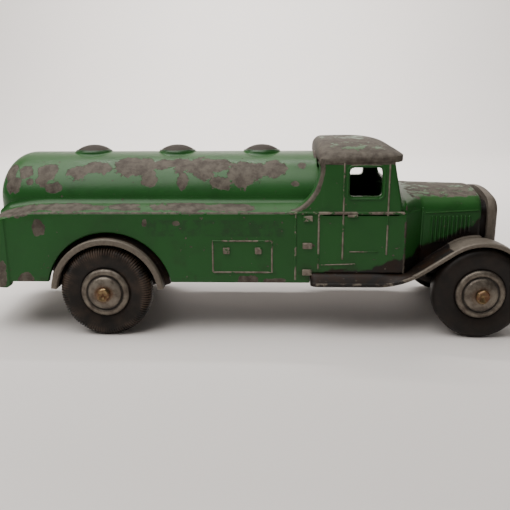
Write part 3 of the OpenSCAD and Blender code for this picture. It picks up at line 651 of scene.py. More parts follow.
def side_lines():
    """Raised lines of one side as (path, width factor), in the order that they lie from the rear."""
    seat = SILL_Z + 1.9
    lx, rx, low, high = CAB_X - 19.4, CAB_X - 8.6, SILL_Z + 2.05, SILL_Z + 7.95
    return [
        ([(lx, low), (rx, low), (rx, high), (lx, high), (lx, low)], 0.9),
        ([(CAB_X - 4.35, SILL_Z + 0.6), (CAB_X - 4.35, BELT_Z - 0.4)], 1.0),
        ([(CAB_X - 0.2, seat + 0.7), (CAB_X - 0.2, BELT_Z)], 1.0),
        ([(CAB_X + 4.15, seat + 2.6), (CAB_X + 4.15, EAVE_Z)], 0.9),
        ([(CAB_X + 12.05, seat + 3.5), (CAB_X + 12.05, EAVE_Z - 0.3)], 0.9),
        ([(CAB_X - 5.5, BELT_Z - 0.1), (SCUTTLE_X - 0.2, BELT_Z - 0.1)], 1.5),
        ([(CAB_X + 5.4, SILL_Z + 6.0), (CAB_X + 10.6, SILL_Z + 6.0)], 0.6),
        ([(CAB_X + 0.2, SILL_Z + 3.5), (CAB_X + 6.5, SILL_Z + 3.7)], 0.6),
    ]


def bare_lines():
    """Raised lines, hinges, catches and handles on both sides, the first to lose their paint."""
    w, h = mm("line_w"), mm("line_h")
    parts = [bead(path, w * wide, h, side, flat_side) for side in SIDES for path, wide in side_lines()]
    plates = [(CAB_X - 16.9, SILL_Z + 6.15, 1.2, 1.2, 0.35), (CAB_X - 11.1, SILL_Z + 6.15, 1.2, 1.2, 0.35),
              (CAB_X + 5.8, BELT_Z - 0.55, 1.8, 0.45, 0.45)]
    plates += [(CAB_X - 2.2, SILL_Z + 2.1 + 5 * i, 1.75, 1.1, 0.35) for i in range(3)]
    for x, z, wide, tall, proud in plates:
        outline = rounded_rectangle(x - wide / 2, x + wide / 2, z - tall / 2, z + tall / 2, 0.15, 2)
        parts += mirrored([prism(outline, HALF_W - 0.3, HALF_W + proud, 0.12)])
    return parts


def painted_relief():
    """Window frames, bonnet hinges, the bonnet's rear edge and its louvres on both sides."""
    left, right, low, high = WINDOW
    frame_path = rounded_rectangle(left - 0.32, right + 0.32, low - 0.34, high + 0.34, 1.0)
    lines = [(np.vstack([frame_path, frame_path[:1]]), 0.42, 0.2, flat_side),
             ([(BONNET_X + 0.7, SILL_Z + 12.3), (NOSE_X - 0.5, SILL_Z + 12.55)], 0.34, 0.15, bonnet_half),
             ([(BONNET_X + 0.15, SILL_Z + 5.5), (BONNET_X + 0.15, SILL_Z + 13.4)], 0.4, 0.16, bonnet_half)]
    for i in range(10):
        x = BONNET_X + 2.0 + i * mm("louvre_pitch")
        foot = max(SILL_Z + 6.6, float(under_body(np.array(x))) + 0.3)
        lines.append(([(x, foot), (x, SILL_Z + 11.7)], 0.46, 0.32, bonnet_half))
    return [bead(path, wide, high, side, y_of) for side in SIDES for path, wide, high, y_of in lines]


# ---------------------------------------------------------------- chassis and radiator

def front_wing():
    """Running board and front wing: a section carried along the wing line.

    On the board the top climbs towards the body by BOARD_CLIMB; along the sweep the climb fades out,
    so that the wing is level across, and it dips a little inside the tyre. The board's end swings in.
    """
    line, normal = wing_line()
    along = line[:, 0] - line[0, 0]
    t = held((along - 11.5) / 9)
    fade = t * t * (3 - 2 * t)
    climb = BOARD_CLIMB * (1 - fade)
    e, rim = GUARD_EDGE, GUARD_Y - GUARD_EDGE
    section = [(rim + e * math.cos(a), e - WING_T + e * math.sin(a)) for a in np.radians([-90, -60, -30, 0])]
    section += [(rim + e * math.cos(a), -e + e * math.sin(a)) for a in QUARTER]
    section += [(rim - (rim - HALF_W) * s, climb * math.sin(s * math.pi / 2))
                for s in (0.2, 0.4, 0.6, 0.8, 1.0)]
    section += [(GUARD_IN + y, climb - dip * fade) for y, dip in ((2.2, 0.02), (0.9, 0.12), (0, 0.35))]
    section += [(GUARD_IN, -WING_T)]
    swing = 1.4 * (1 - np.sqrt(1 - (1 - held(along / 1.4)) ** 2))
    points = np.zeros((len(line), len(section), 3))
    for i, (y, up) in enumerate(section):
        points[:, i, ::2] = line + normal * np.reshape(up, (-1, 1))
        points[:, i, 1] = y - swing * max(0.0, y - HALF_W) / (GUARD_Y - HALF_W)
    return grid(points, wrap_v=True, cap_u=True)


def rear_guard():
    """Rear mudguard: a rounded strip carried round an arc over the wheel, with a flange inside the skirt."""
    r_in, start = TYRE_R + 0.9, math.degrees(math.asin(1.2 / GUARD_R))
    a = np.radians(np.linspace(start, 180 - start, 61))[:, None]
    e, rim = GUARD_EDGE, GUARD_Y - GUARD_EDGE
    section = [(GUARD_IN, r_in), (rim, r_in)]
    section += [(rim + e * math.sin(t), r_in + e - e * math.cos(t)) for t in QUARTER[1:]]
    section += [(rim + e * math.cos(t), GUARD_R - e + e * math.sin(t)) for t in QUARTER]
    section += [(GUARD_Y - 2.4, GUARD_R), (GUARD_Y - 3.2, GUARD_R + 0.85), (GUARD_IN, GUARD_R + 0.85)]
    y, r = np.array(section).T
    return tube(GUARD_X + r * np.cos(a), y, GUARD_Z + r * np.sin(a))


def chassis_parts():
    """Floor, lugs, wheel walls, pad, wings, boards and guards."""
    floor_z = SILL_Z + 0.1
    floor_x0, floor_x1 = GUARD_X - GUARD_R, RADIATOR_HIGH[0] + 0.7
    r = 2.4
    rear_lug = np.vstack([arc(REAR_X, AXLE_Z, r, 180, 290, 12),
                          [[REAR_X + 11, floor_z + 0.1], [REAR_X - r, floor_z + 0.1]]])
    front_lug = np.vstack([arc(FRONT_X, AXLE_Z, r, 250, 360, 12),
                           [[FRONT_X + r, floor_z + 0.1], [FRONT_X - 11, floor_z + 0.1]]])
    both = [front_wing(), rear_guard()]
    both += [prism(lug, LUG_Y - 1.8, LUG_Y, 0.2) for lug in (rear_lug, front_lug)]
    for cx, cz, r in ((FRONT_X, AXLE_Z, WING_R - 0.4), (GUARD_X, GUARD_Z, TYRE_R + 1.5)):
        start = math.degrees(math.asin((floor_z + 0.2 - cz) / r))
        both.append(prism(arc(cx, cz, r, start, 180 - start, 40), LUG_Y - 1.2, LUG_Y, 0.1))
    line, normal = wing_line(0.12)
    keep = line[:, 0] < NOSE_X
    over = line[keep]
    shelf = np.vstack([over, (over - normal[keep] * (WING_T - 0.14))[::-1]])
    both.append(prism(shelf, NOSE_HALF - 1.3, LUG_Y - 1.0, 0.05))
    board_x = over[0, 0]
    seat = [[board_x + 0.3, SILL_Z - 0.3], [board_x + 16, SILL_Z - 0.3], [board_x + 17.5, SILL_Z + 1.8],
            [board_x + 0.3, SILL_Z + 1.8]]
    both.append(prism(seat, LUG_Y - 0.5, HALF_W - 0.2, 0.1))
    floor = [[floor_x0, -LUG_Y], [floor_x1, -LUG_Y], [floor_x1, LUG_Y], [floor_x0, LUG_Y]]
    tail = rounded_rectangle(floor_x0 - 7.5, floor_x0 + 1, -8, 8, 0.4)
    pad = rounded_rectangle(REAR_X + 24, REAR_X + 54, -6, 6, 1.0)
    return mirrored(both) + [
        prism(floor, floor_z, floor_z + 1.2, 0.2, "xyz"), prism(tail, floor_z, floor_z + 1.2, 0.2, "xyz"),
        prism(pad, floor_z - 0.5, floor_z + 0.1, 0.2, "xyz")]


def radiator_parts():
    """Tin radiator: a rim turned back over the nose, a raised border and upright fins."""
    top, foot = BONNET_Z - 0.5, RADIATOR_LOW[2]
    low, front = foot + 1.6, RADIATOR_HIGH[0] - 0.15
    back, border, bend, depth = front - 1.95, 1.5, 1.2, 0.35

    def loop(inset, x):
        return hood_ring(x, NOSE_HALF - inset, top - inset, max(3.0 - inset, 0.8), low + inset)

    rings = [loop(0.4, back + 0.05), loop(0.4, back), loop(0.0, back), loop(0.0, back + 0.05)]
    rings += [loop(bend * (1 - math.cos(a)), front - bend + bend * math.sin(a))
              for a in np.radians([0, 18, 36, 54, 72, 90])]
    rings += [loop(border - 0.1, front), loop(border, front - 0.08), loop(border + 0.05, front - depth)]
    whole = [list(range(len(rings[0])))]
    parts = [grid(np.array(rings), wrap_v=True), (rings[-1], whole), (rings[0], whole)]
    section = hood_section(NOSE_HALF - border, top - border, 2.0, low + border)[1:]
    a = np.radians(np.linspace(0, 360, 9)[:-1])
    for i in range(-11, 12):
        y = i * 0.62
        z = [[low + border - 0.1], [np.interp(-abs(y), -section[:, 0], section[:, 1]) - 0.1]]
        parts.append(tube(front - depth - 0.01 + np.cos(a) * 0.2, y + np.sin(a) * 0.2, np.array(z)))
    tab = [[front - 0.45, foot + 0.4], [front - 2.0, foot + 0.4], [front - 2.0, foot], [front - 0.05, foot],
           [front - 0.05, low + 0.5], [front - 0.45, low + 0.5]]
    return parts + [prism(tab, -1.5, 1.5, 0.08)]


# ---------------------------------------------------------------- wheels, axles and rivets

def tyre_profile():
    """Closed section of a tyre as (radius, distance out from its inner face), finely rounded."""
    r, rim, bore = 1.5, 4.56, 4.14
    wall_in = np.array([[rim, 0.5], [4.66, 0.42], [4.9, 0.34], [5.4, 0.16], [6.2, 0.02]])
    wall_out = [[radius, TYRE_W - y] for radius, y in wall_in[::-1]]
    tread = [[TYRE_R, y] for y in np.linspace(r, TYRE_W - r, 8)[1:-1]]
    seat = [[rim, TYRE_W - 0.7], [bore, TYRE_W - 0.9], [bore, 0.65], [rim, 0.6]]
    return np.vstack([wall_in, arc(TYRE_R - r, r, r, -90, 0, 10), tread,
                      arc(TYRE_R - r, TYRE_W - r, r, 0, 90, 10), wall_out, seat])


def ribs(profile, angle):
    """Fine radial ribs over tread and shoulders, fading out on the walls."""
    fade = held((profile[:, :1] - 6.6) / 0.9)
    wave = np.abs(np.sin(angle * sizes().tread_ribs / 2)) ** 0.7
    uneven = 1 + 0.35 * np.sin(angle * 7 + 1.3) + 0.25 * np.sin(angle * 17)
    return -mm("tread_depth") * fade * (1 - wave) * uneven * 1.4


def tyre_part(x, side, ribbed):
    """A tyre turned round its axle: ribbed for a rear wheel, smooth for a front wheel."""
    steps = sizes().tread_ribs * 6 if ribbed else 160
    return lathe(tyre_profile(), x, TYRE_IN, side, steps, ribs if ribbed else None, closed=True)


# Outside of a hub as (radius, distance out): the bore and inner face, the seat of the tyre, then
# from its face the rim, the groove and the stepped dome, and back to the bore
HUB_BACK = [(1.06, 0.0), (3.2, 0.0), (4.3, 0.0), (4.53, 0.15), (4.53, 0.6), (4.1, 0.7)]
HUB_FACE = [(4.1, -0.6), (4.53, -0.5), (4.53, -0.1), (4.5, 0.02), (4.42, 0.16), (4.25, 0.32), (4.0, 0.44),
            (3.75, 0.48), (3.55, 0.44), (3.42, 0.34), (3.34, 0.2), (3.27, 0.16), (3.18, 0.17), (3.12, 0.26),
            (3.06, 0.46), (2.95, 0.6), (2.7, 0.74), (2.3, 0.9), (1.9, 1.02), (1.5, 1.1), (1.3, 1.13),
            (1.15, 1.12), (1.06, 1.02)]
HUB_DEPTH = 4.0


def hub_part(x, side):
    """A cast hub turned round its axle, closed at the bore."""
    profile = HUB_BACK + [(radius, HUB_DEPTH + out) for radius, out in HUB_FACE]
    return lathe(profile, x, TYRE_IN, side, 96, closed=True)


def axle_part(x):
    """An axle with both ends peened: a mushroomed rim round a shallow hollow, slightly out of round."""
    neck = 0.75
    half = [(r, AXLE_REACH - back) for r, back in (
        (0.0, 0.42), (0.35, 0.36), (0.62, 0.12), (0.85, 0.02), (1.02, 0), (1.18, 0.1), (1.28, 0.32),
        (1.27, 0.55), (1.15, neck - 0.02), (1.0, neck), (1.0, neck + 3))]

    def uneven(rows, angle):
        edge = (rows[:, :1] > 0.5) * (np.abs(rows[:, 1:]) > AXLE_REACH - neck)
        return edge * 0.06 * (np.sin(angle * 2 + 0.7) + 0.6 * np.sin(angle * 5))

    return lathe(half + [(r, -y) for r, y in half[::-1]], x, 0.0, 1, 48, uneven)


def rivet_part(node):
    """A rivet: shank and a hammered, domed head under the floor."""
    low, high = cad_box(node)
    rows = np.array([(0.0, 0.0), (0.7, 0.05), (1.3, 0.2), (1.75, 0.45), (2.05, 0.8), (2.05, 0.92),
                     (1.1, 0.92), (1.1, 4.0), (0.0, 4.0)])
    angle = np.linspace(0, 2 * math.pi, 48, endpoint=False)
    radius = rows[:, :1] * (1 + 0.03 * np.sin(angle * 3))
    points = [(low[0] + high[0]) / 2 + radius * np.cos(angle), radius * np.sin(angle), low[2] + rows[:, 1:]]
    return grid(np.stack(np.broadcast_arrays(*points), -1), wrap_v=True)


# ---------------------------------------------------------------- materials

# Shader nodes by short name: type, settings, the inputs that values go to in order, and the output.
# Any other name is an operation of the math node, and more than two values are taken in turn.
NODES = {
    "place": ("TexCoord", {}, (), "Object"),
    "normal": ("NewGeometry", {}, (), "Normal"),
    "scale": ("VectorMath", {"operation": "SCALE"}, ("Vector", "Scale"), 0),
    "split": ("SeparateXYZ", {}, (0,), slice(3)),
    "noise": ("TexNoise", {}, ("Vector", "Scale", "Detail", "Roughness", "Distortion"), "Fac"),
    "step": ("MapRange", {"interpolation_type": "SMOOTHSTEP"}, (0, 1, 2), 0),
    "ramp": ("MapRange", {"interpolation_type": "LINEAR"}, (0, 1, 2), 0),
    "mix": ("Mix", {"data_type": "RGBA"}, (0, 6, 7), 2),
    "blend": ("Mix", {"data_type": "FLOAT"}, (0, 2, 3), 0),
    "fit": ("Mapping", {"vector_type": "TEXTURE"}, ("Vector", "Location", "Scale"), 0),
    "ball": ("TexGradient", {"gradient_type": "SPHERICAL"}, (0,), 1),
    "scale_add": ("Math", {"operation": "MULTIPLY_ADD"}, (0, 1, 2), 0),
    "bump": ("Bump", {}, ("Strength", "Distance", "Height"), 0),
    "shader": ("BsdfPrincipled", {}, ("Base Color", "Roughness", "Normal", "Metallic", "Specular IOR Level",
                                      "IOR"), 0),
    "out": ("OutputMaterial", {}, (0,), None),
}


def add(tree, kind, *values):
    """Adds a node with its settings, links or sets its inputs in order, and gives its output."""
    family, settings, sockets, output = NODES.get(kind, ("Math", {"operation": kind}, (0, 1), 0))
    if len(values) > len(sockets):
        return add(tree, kind, add(tree, kind, *values[:-1]), values[-1])
    made = tree.nodes.new("ShaderNode" + family)
    for key, value in settings.items():
        setattr(made, key, value)
    for socket, value in zip(sockets, values):
        if isinstance(value, bpy.types.NodeSocket):
            tree.links.new(value, made.inputs[socket])
        else:
            made.inputs[socket].default_value = value
    return None if output is None else made.outputs[output]


def begin(name):
    """A new material, the function that adds to it, and the place on the truck in millimetres."""
    material = bpy.data.materials.new(name)
    material.use_nodes = True
    material.node_tree.nodes.clear()
    node = functools.partial(add, material.node_tree)
    return material, node, node("scale", node("place"), 1 / MM)


def rgba(value, gain=1.0):
    """A colour with its alpha, made lighter or darker by a gain."""
    return tuple(min(1.0, c * gain) for c in value) + (1.0,)


def blobs(node, place, places):
    """Tallest of soft ellipsoids, each 1 in its middle and falling evenly to 0 at its radii.

    The radii are BLOB_REACH times as long as the flake reaches, where a blob is at about half strength.
    """
    return node("MAXIMUM", *[node("ball", node("fit", place, middle, [BLOB_REACH * r for r in reach]))
                             for middle, reach in places])


def away(node, a, b):
    """Distance from nothing of two values at right angles."""
    return node("SQRT", node("ADD", node("MULTIPLY", a, a), node("MULTIPLY", b, b)))


def gap(node, value, middle):
    """How far a value is from a middle."""
    return node("ABSOLUTE", node("SUBTRACT", value, middle))


def mask(node, strength, *steps):
    """A strength times smooth steps of (value, where it is still 0, where it is 1)."""
    return node("MULTIPLY", *[node("step", *step) for step in steps], strength)


# Places where the enamel has flaked from the casting: middle of each flake and how far it reaches
FLAKES = [
    # long ragged flake along the shoulder of the tank, with its lobes
    ((-32.8, -8.3, 29.6), (2.0, 1.8, 1.8)), ((-29.3, -7.2, 30.5), (2.8, 1.8, 1.8)),
    ((-21.9, -6.7, 30.8), (4.3, 2.5, 2.5)), ((-18.9, -9.1, 28.7), (1.5, 1.8, 1.8)),
    ((-11.8, -6.8, 30.8), (5.0, 2.4, 2.4)), ((-12.8, -9.3, 28.4), (1.1, 1.9, 1.9)),
    ((-9.2, -8.4, 29.5), (2.1, 1.7, 1.7)), ((-5.9, -9.7, 27.8), (2.1, 1.6, 1.6)),
    ((-1.3, -8.4, 29.5), (3.6, 3.1, 3.1)), ((4.3, -7.5, 30.3), (2.3, 1.9, 1.9)),
    ((-17.0, -6.6, 30.9), (2.4, 1.7, 1.5)), ((-6.6, -6.9, 30.7), (2.6, 2.0, 1.8)),
    ((9.3, -7.0, 30.6), (0.8, 0.9, 0.9)), ((8.0, -9.8, 27.7), (0.7, 0.5, 0.5)),
    # crescent and spots near the rear of the tank
    ((-38.8, -8.0, 29.9), (2.0, 1.7, 1.7)), ((-39.3, -9.2, 28.6), (1.0, 1.9, 1.9)),
    ((-37.2, -10.1, 27.0), (1.6, 0.9, 0.9)), ((-42.6, -8.2, 29.7), (1.2, 1.4, 1.4)),
    ((-41.7, -9.6, 28.0), (0.6, 0.7, 0.7)), ((-45.0, -9.9, 27.4), (1.6, 1.8, 1.8)),
    ((-45.9, -8.2, 29.7), (1.4, 2.3, 2.3)), ((-48.5, 0.0, 27.0), (1.0, 4.5, 2.4)),
    # skirts and foot of the tail
    ((-38.9, -14.9, 20.6), (1.2, 1.5, 1.4)), ((-41.8, -14.9, 10.6), (1.5, 1.5, 1.2)),
    ((-19.3, -14.9, 21.3), (0.6, 1.0, 0.9)), ((-13.6, -14.9, 21.3), (0.8, 1.0, 0.5)),
    ((-0.5, -14.9, 10.6), (1.9, 1.5, 0.8)), ((4.6, -14.9, 10.4), (2.3, 1.5, 0.7)),
    ((-46.8, -14.0, 12.0), (1.2, 3.0, 3.8)), ((-52.0, -6.0, 15.0), (1.6, 3.5, 2.2)),
    # far side, guessed
    ((-12.0, 8.4, 29.6), (6.0, 2.4, 2.2)), ((-30.0, 9.0, 28.9), (3.5, 2.2, 2.2)),
    ((2.0, 9.2, 28.4), (3.6, 2.0, 2.2)), ((-42.0, 8.6, 28.8), (2.2, 2.0, 2.0)),
    ((-35.0, 14.9, 19.5), (1.6, 1.5, 1.4)), ((-6.0, 14.9, 12.0), (1.6, 1.5, 1.0)),
    ((20.0, 14.9, 14.5), (1.6, 1.5, 0.9)), ((-51.0, 6.0, 21.0), (2.2, 3.4, 1.6)),
]

# Runs where the ledge between tank and skirts has rubbed bare
LEDGE_RUNS = [
    ((-44.0, -13.0, 23.0), (7.0, 1.7, 1.6)), ((-34.5, -12.8, 23.8), (6.6, 1.7, 1.3)),
    ((-23.0, -12.8, 23.9), (2.8, 1.5, 1.1)), ((-12.5, -12.8, 23.9), (5.5, 1.7, 1.2)),
    ((-3.5, -12.8, 23.9), (5.4, 1.7, 1.2)), ((-36.0, 13.0, 23.7), (8.0, 1.5, 1.2)),
    ((-5.0, 12.8, 23.9), (7.0, 1.5, 1.2)), ((-50.8, 0.0, 21.2), (1.6, 8.0, 1.2)),
]
BLOB_REACH = 1.8


def bare_mask(node, place, x, side, z, wear):
    """Where the paint is gone: flakes with ragged edges, rubbed ledges, roof, bonnet, caps and edges.

    Also gives the wide noise that makes the edges ragged, which the overspray shares.
    """
    ragged = node("noise", place, 1 / 4.5, 3.0, 0.6, 0.3)
    small = node("noise", place, 1 / 1.3, 5.0, 0.65)
    runs = mask(node, blobs(node, place, LEDGE_RUNS), (side, 10.9, 11.3))
    roof = mask(node, node("scale_add", node("step", z, 33.4, 34.8), -0.16, 0.7),
                (z, 31.6, 32.0), (x, CAB_X - 1.0, CAB_X - 0.7))
    bonnet = mask(node, 0.54, (z, 24.3, 25.3), (x, SCUTTLE_X - 1, SCUTTLE_X + 2))
    caps = mask(node, 0.8, (z, TANK_Z + 0.3, TANK_Z + 0.65), (x, CAB_X - 4, CAB_X - 5))
    along = node("DIVIDE", node("SUBTRACT", x, SWEEP_X), SWEEP_L)
    under = node("MINIMUM", node("DIVIDE", node("SUBTRACT", z, BELT_Z + SWEEP_H), SWEEP_H), 0.0)
    off_sweep = gap(node, away(node, along, under), 1.03)
    sweep = mask(node, 0.72, (off_sweep, 0.12, 0.03), (x, CAB_X - 6, CAB_X - 5),
                 (z, BELT_Z + 0.1, BELT_Z + 0.3), (side, HALF_W - 2, HALF_W - 1))
    front = mask(node, 0.5, (gap(node, x, SCUTTLE_X), 0.45, 0.15), (side, HALF_W - 0.5, HALF_W - 0.2))
    chips = mask(node, 0.55, (node("noise", place, 1 / 0.9, 2.0, 0.5), 0.70, 0.73))
    big = node("MAXIMUM", blobs(node, place, FLAKES), runs, roof, bonnet, caps, sweep, front, chips)
    rough = node("ADD", node("scale_add", ragged, 0.9, -0.45), node("scale_add", small, 0.75, -0.375))
    return node("step", node("ADD", big, rough, wear), 0.43, 0.46), ragged


def enamel(name, wear, edge_lines=False, gain=1.0):
    """Stoving enamel on zinc alloy: glossy paint, gone in flakes down to dull grey metal.

    To the eye: deep green with soft gloss, lighter on top where it is faded and where a painted
    sheen stands in for the light, darker towards the bottom, and flakes whose edges stand a paint's
    thickness above matt, finely pitted metal.
    """
    c = colours()
    material, node, place = begin(name)
    x, y, z = node("split", place)
    side = node("ABSOLUTE", y)
    fine = node("noise", place, 1 / 0.6, 4.0, 0.6)
    bare, ragged = bare_mask(node, place, x, side, z, wear)
    if edge_lines:
        # thin bright line where the belt edge has rubbed through behind the cab
        bare = node("MAXIMUM", bare, mask(
            node, 1.0, (gap(node, z, BELT_Z - 0.02), 0.34, 0.22), (x, CAB_X - 5, CAB_X - 6),
            (side, HALF_W - 0.5, HALF_W - 0.3), (fine, 0.36, 0.44)))
    # lighter where it faces up, partly faded enamel and partly a painted sheen; darker towards the
    # bottom; and a plain dark band of worn transfer with no pattern
    cloud = node("noise", place, 1 / 9, 4.0, 0.55)
    facing_up = node("split", node("normal"))[2]
    # faces that point up are lighter: faded enamel, and a painted sheen where the top catches the light
    bleached = mask(node, node("scale_add", cloud, 0.5, 0.125), (facing_up, 0.15, 0.95))
    # darker towards the bottom, in patches
    darker_low = mask(node, node("scale_add", node("step", z, 15.0, 10.5), 0.5, 0.22),
                 (node("noise", place, 1 / 5, 5.0, 0.55), 0.5, 0.72))
    band = mask(node, 0.45, (x, -19.5, -18.6), (x, 6.6, 5.6), (z, 18.6, 19.1), (z, 22.2, 21.7),
                (node("noise", place, 1 / 1.8, 5.0, 0.7), 0.42, 0.6))
    # colour of the black overspray, also used for painted shade in the gap behind the radiator
    spray_and_shade_black = node("mix", node("step", ragged, 0.42, 0.62), rgba(c.black, 0.8), rgba(c.rust, 0.13))
    # black overspray from the chassis, and everything forward of NOSE_X painted black as painted shade in
    # the gap between bonnet and radiator
    spray_and_gap_shade = node("MAXIMUM", overspray(node, x, z, ragged), node("step", x, NOSE_X - 0.02, NOSE_X + 0.02))
    # on the filler caps the green that is left is darkened as painted shade on their sides, and the bare
    # metal on them is made darker
    cap = (z, TANK_Z + 0.1, TANK_Z + 0.3), (x, CAB_X - 4, CAB_X - 5)
    green = node("mix", cloud, rgba(c.green, 0.82), rgba(c.green, 1.25))
    for share, tint in (
            (bleached, rgba(c.green_faded_and_sheen)), (darker_low, rgba(c.black, 1.4)), (band, (0.012, 0.024, 0.012, 1)),
            (spray_and_gap_shade, spray_and_shade_black), (mask(node, 0.85, *cap), rgba(c.green, 0.45))):
        green = node("mix", share, green, tint)
    grain = node("noise", place, 1 / 1.6, 6.0, 0.65)
    metal = node("mix", node("step", grain, 0.3, 0.68), rgba(c.zinc_dark, gain), rgba(c.zinc, gain))
    # lighter specks on the bare metal: painted glints
    metal = node("mix", mask(node, 0.35, (fine, 0.56, 0.72)), metal, rgba(c.zinc, 1.35 * gain))
    metal = node("mix", mask(node, 0.8, *cap), metal, rgba(c.zinc_dark, 0.7))
    base = node("mix", bare, green, metal)
    rough = node("blend", bare, node("scale_add", ragged, 0.2, 0.26), node("scale_add", grain, 0.25, 0.58))
    ripple = node("MULTIPLY", node("noise", place, 1 / 2.4, 3.0, 0.55), 0.25)
    pits = node("MULTIPLY", bare, node("scale_add", node("noise", place, 1 / 0.35, 3.0, 0.6), 0.5, 0.5))
    bump = node("bump", 0.7, 0.12 * MM, node("SUBTRACT", ripple, pits))
    node("out", node("shader", base, rough, bump, node("MULTIPLY", bare, 0.3), 0.25))
    return material


def overspray(node, x, z, ragged):
    """Black from the chassis that strays up the foot of the cab and the bonnet."""
    line = node("scale_add", node("POWER", node("ramp", x, 12.0, 43.0), 1.8), 9.2, 12.3)
    over = node("SUBTRACT", line, node("ADD", z, node("scale_add", ragged, -5.0, 2.5)))
    return mask(node, 1.0, (over, -0.3, 0.4), (x, 10.0, 13.0))


def worn_black(name, rub):
    """Thin black enamel on zinc alloy: satin black, rubbed through on edges and high spots.

    To the eye: brownish black in the hollows, grey metal along every edge that a finger meets and
    over the crests of the front wings.
    """
    c = colours()
    material, node, place = begin(name)
    x, y, z = node("split", place)
    side = node("ABSOLUTE", y)
    ragged = node("noise", place, 1 / 2.6, 6.0, 0.65, 0.2)
    fine = node("noise", place, 1 / 0.6, 4.0, 0.6)
    edge = mask(node, 0.9, (side, GUARD_Y - 0.65, GUARD_Y - 0.4), (z, SILL_Z + 1.4, SILL_Z + 2.4))
    rim = mask(node, 0.45, (side, GUARD_Y - 0.3, GUARD_Y - 0.1))
    guard = mask(node, 0.62, (x, REAR_X + 14, REAR_X + 12), (side, GUARD_Y - 1.4, GUARD_Y - 0.9))
    wing_z = AXLE_Z + WING_R
    crest = mask(node, 0.7, (z, wing_z - 2.2, wing_z - 1.2), (x, FRONT_X - 16, FRONT_X - 14))
    high = node("MAXIMUM", edge, rim, guard, crest)
    bare = node("step", node("ADD", high, node("scale_add", ragged, 0.8, -0.4), rub), 0.42, 0.5)
    bare = node("MAXIMUM", bare, mask(node, 0.35, (fine, 0.64, 0.7)))
    black = node("mix", node("step", ragged, 0.4, 0.65), rgba(c.black, 0.8), rgba(c.rust, 0.16))
    metal = node("mix", fine, rgba(c.zinc_dark, 1.5), rgba(c.zinc, 1.7))
    base, rough = node("mix", bare, black, metal), node("scale_add", ragged, 0.25, 0.42)
    height = node("SUBTRACT", node("MULTIPLY", fine, 0.5), node("MULTIPLY", bare, 0.6))
    bump = node("bump", 0.6, 0.08 * MM, height)
    node("out", node("shader", base, rough, bump, node("MULTIPLY", bare, 0.4), 0.3))
    return material


def dull_zinc(name, rust_near):
    """Bare cast zinc alloy: dull grey metal with a sandy skin, darker in the groove and round the rim, rust
    by the axle.
    """
    c = colours()
    material, node, place = begin(name)
    x, _, z = node("split", place)
    cloud = node("noise", place, 1 / 1.8, 6.0, 0.65)
    fine = node("noise", place, 1 / 0.3, 4.0, 0.6)
    base = node("mix", node("step", cloud, 0.3, 0.7), rgba(c.zinc_dark, 1.5), rgba(c.zinc, 1.75))
    out = node("MINIMUM", *[away(node, node("SUBTRACT", x, cx), node("SUBTRACT", z, AXLE_Z))
                            for cx in (FRONT_X, REAR_X)])
    # darker in the groove and round the rim of the hub
    groove = mask(node, 0.85, (gap(node, out, 3.24), 0.32, 0.05))
    dark_rings = node("MAXIMUM", groove, node("step", out, 4.36, 4.54))
    base = node("mix", dark_rings, base, rgba(c.black, 1.6))
    rusty = mask(node, rust_near, (node("scale_add", cloud, 1.6, out), 3.0, 1.9))
    base = node("mix", rusty, base, rgba(c.rust))
    rough, shine = node("scale_add", cloud, 0.24, 0.36), node("scale_add", dark_rings, -0.6, 0.75)
    node("out", node("shader", base, rough, node("bump", 0.5, 0.06 * MM, node("ADD", fine, cloud)), shine))
    return material


def old_rubber(name, dust, ribbed=False):
    """Old moulded rubber: near black, a brown bloom of dust, on ribbed tyres lighter brown rib crests of
    dust and painted highlight, a soft polish on the shoulders.
    """
    material, node, place = begin(name)
    cloud = node("noise", place, 1 / 3.5, 5.0, 0.6)
    fine = node("noise", place, 1 / 0.4, 4.0, 0.6)
    bloom = mask(node, dust, (cloud, 0.35, 0.75))
    base = node("mix", bloom, rgba(colours().rubber, 0.75), rgba(linear("#3a2e25")))
    if ribbed:
        x, _, z = node("split", place)
        across, up = node("SUBTRACT", x, REAR_X), node("SUBTRACT", z, AXLE_Z)
        turn = node("MULTIPLY", node("ARCTAN2", across, up), sizes().tread_ribs / 2)
        # lighter brown on the rib crests of the shoulder: dust, and a painted highlight where the ribs catch
        # the light
        dust_and_highlight = mask(node, 0.55, (node("ABSOLUTE", node("SINE", turn)), 0.45, 0.85),
                     (away(node, across, up), TYRE_R - 2.0, TYRE_R - 1.2), (cloud, 0.38, 0.6))
        base = node("mix", dust_and_highlight, base, rgba(linear("#54453a")))
    bump = node("bump", 0.35, 0.05 * MM, node("ADD", fine, node("MULTIPLY", cloud, 2.0)))
    node("out", node("shader", base, node("scale_add", cloud, 0.25, 0.34), bump, 0.0, 0.2, 1.52))
    return material


def tarnished_wire():
    """Drawn mild steel wire, tarnished brassy, with brown rust in the hollows of the peened ends."""
    c = colours()
    material, node, place = begin("tarnished_axle_wire")
    cloud = node("noise", place, 1 / 0.8, 5.0, 0.6)
    base = node("mix", node("step", cloud, 0.42, 0.62), rgba(c.axle), rgba(c.rust, 0.9))
    shine = node("scale_add", node("step", cloud, 0.45, 0.6), -0.55, 0.95)
    rough, bump = node("scale_add", cloud, 0.3, 0.22), node("bump", 0.5, 0.06 * MM, cloud)
    node("out", node("shader", base, rough, bump, shine))
    return material


def backdrop_paper():
    """Matt paper: pale warm grey with almost no texture."""
    material, node, place = begin("backdrop_paper")
    paper = colours().paper
    base = node("mix", node("noise", place, 1 / 60, 2.0, 0.55), rgba(paper, 0.98), rgba(paper, 1.02))
    node("out", node("shader", base, 0.75))
    return material


# ---------------------------------------------------------------- operators

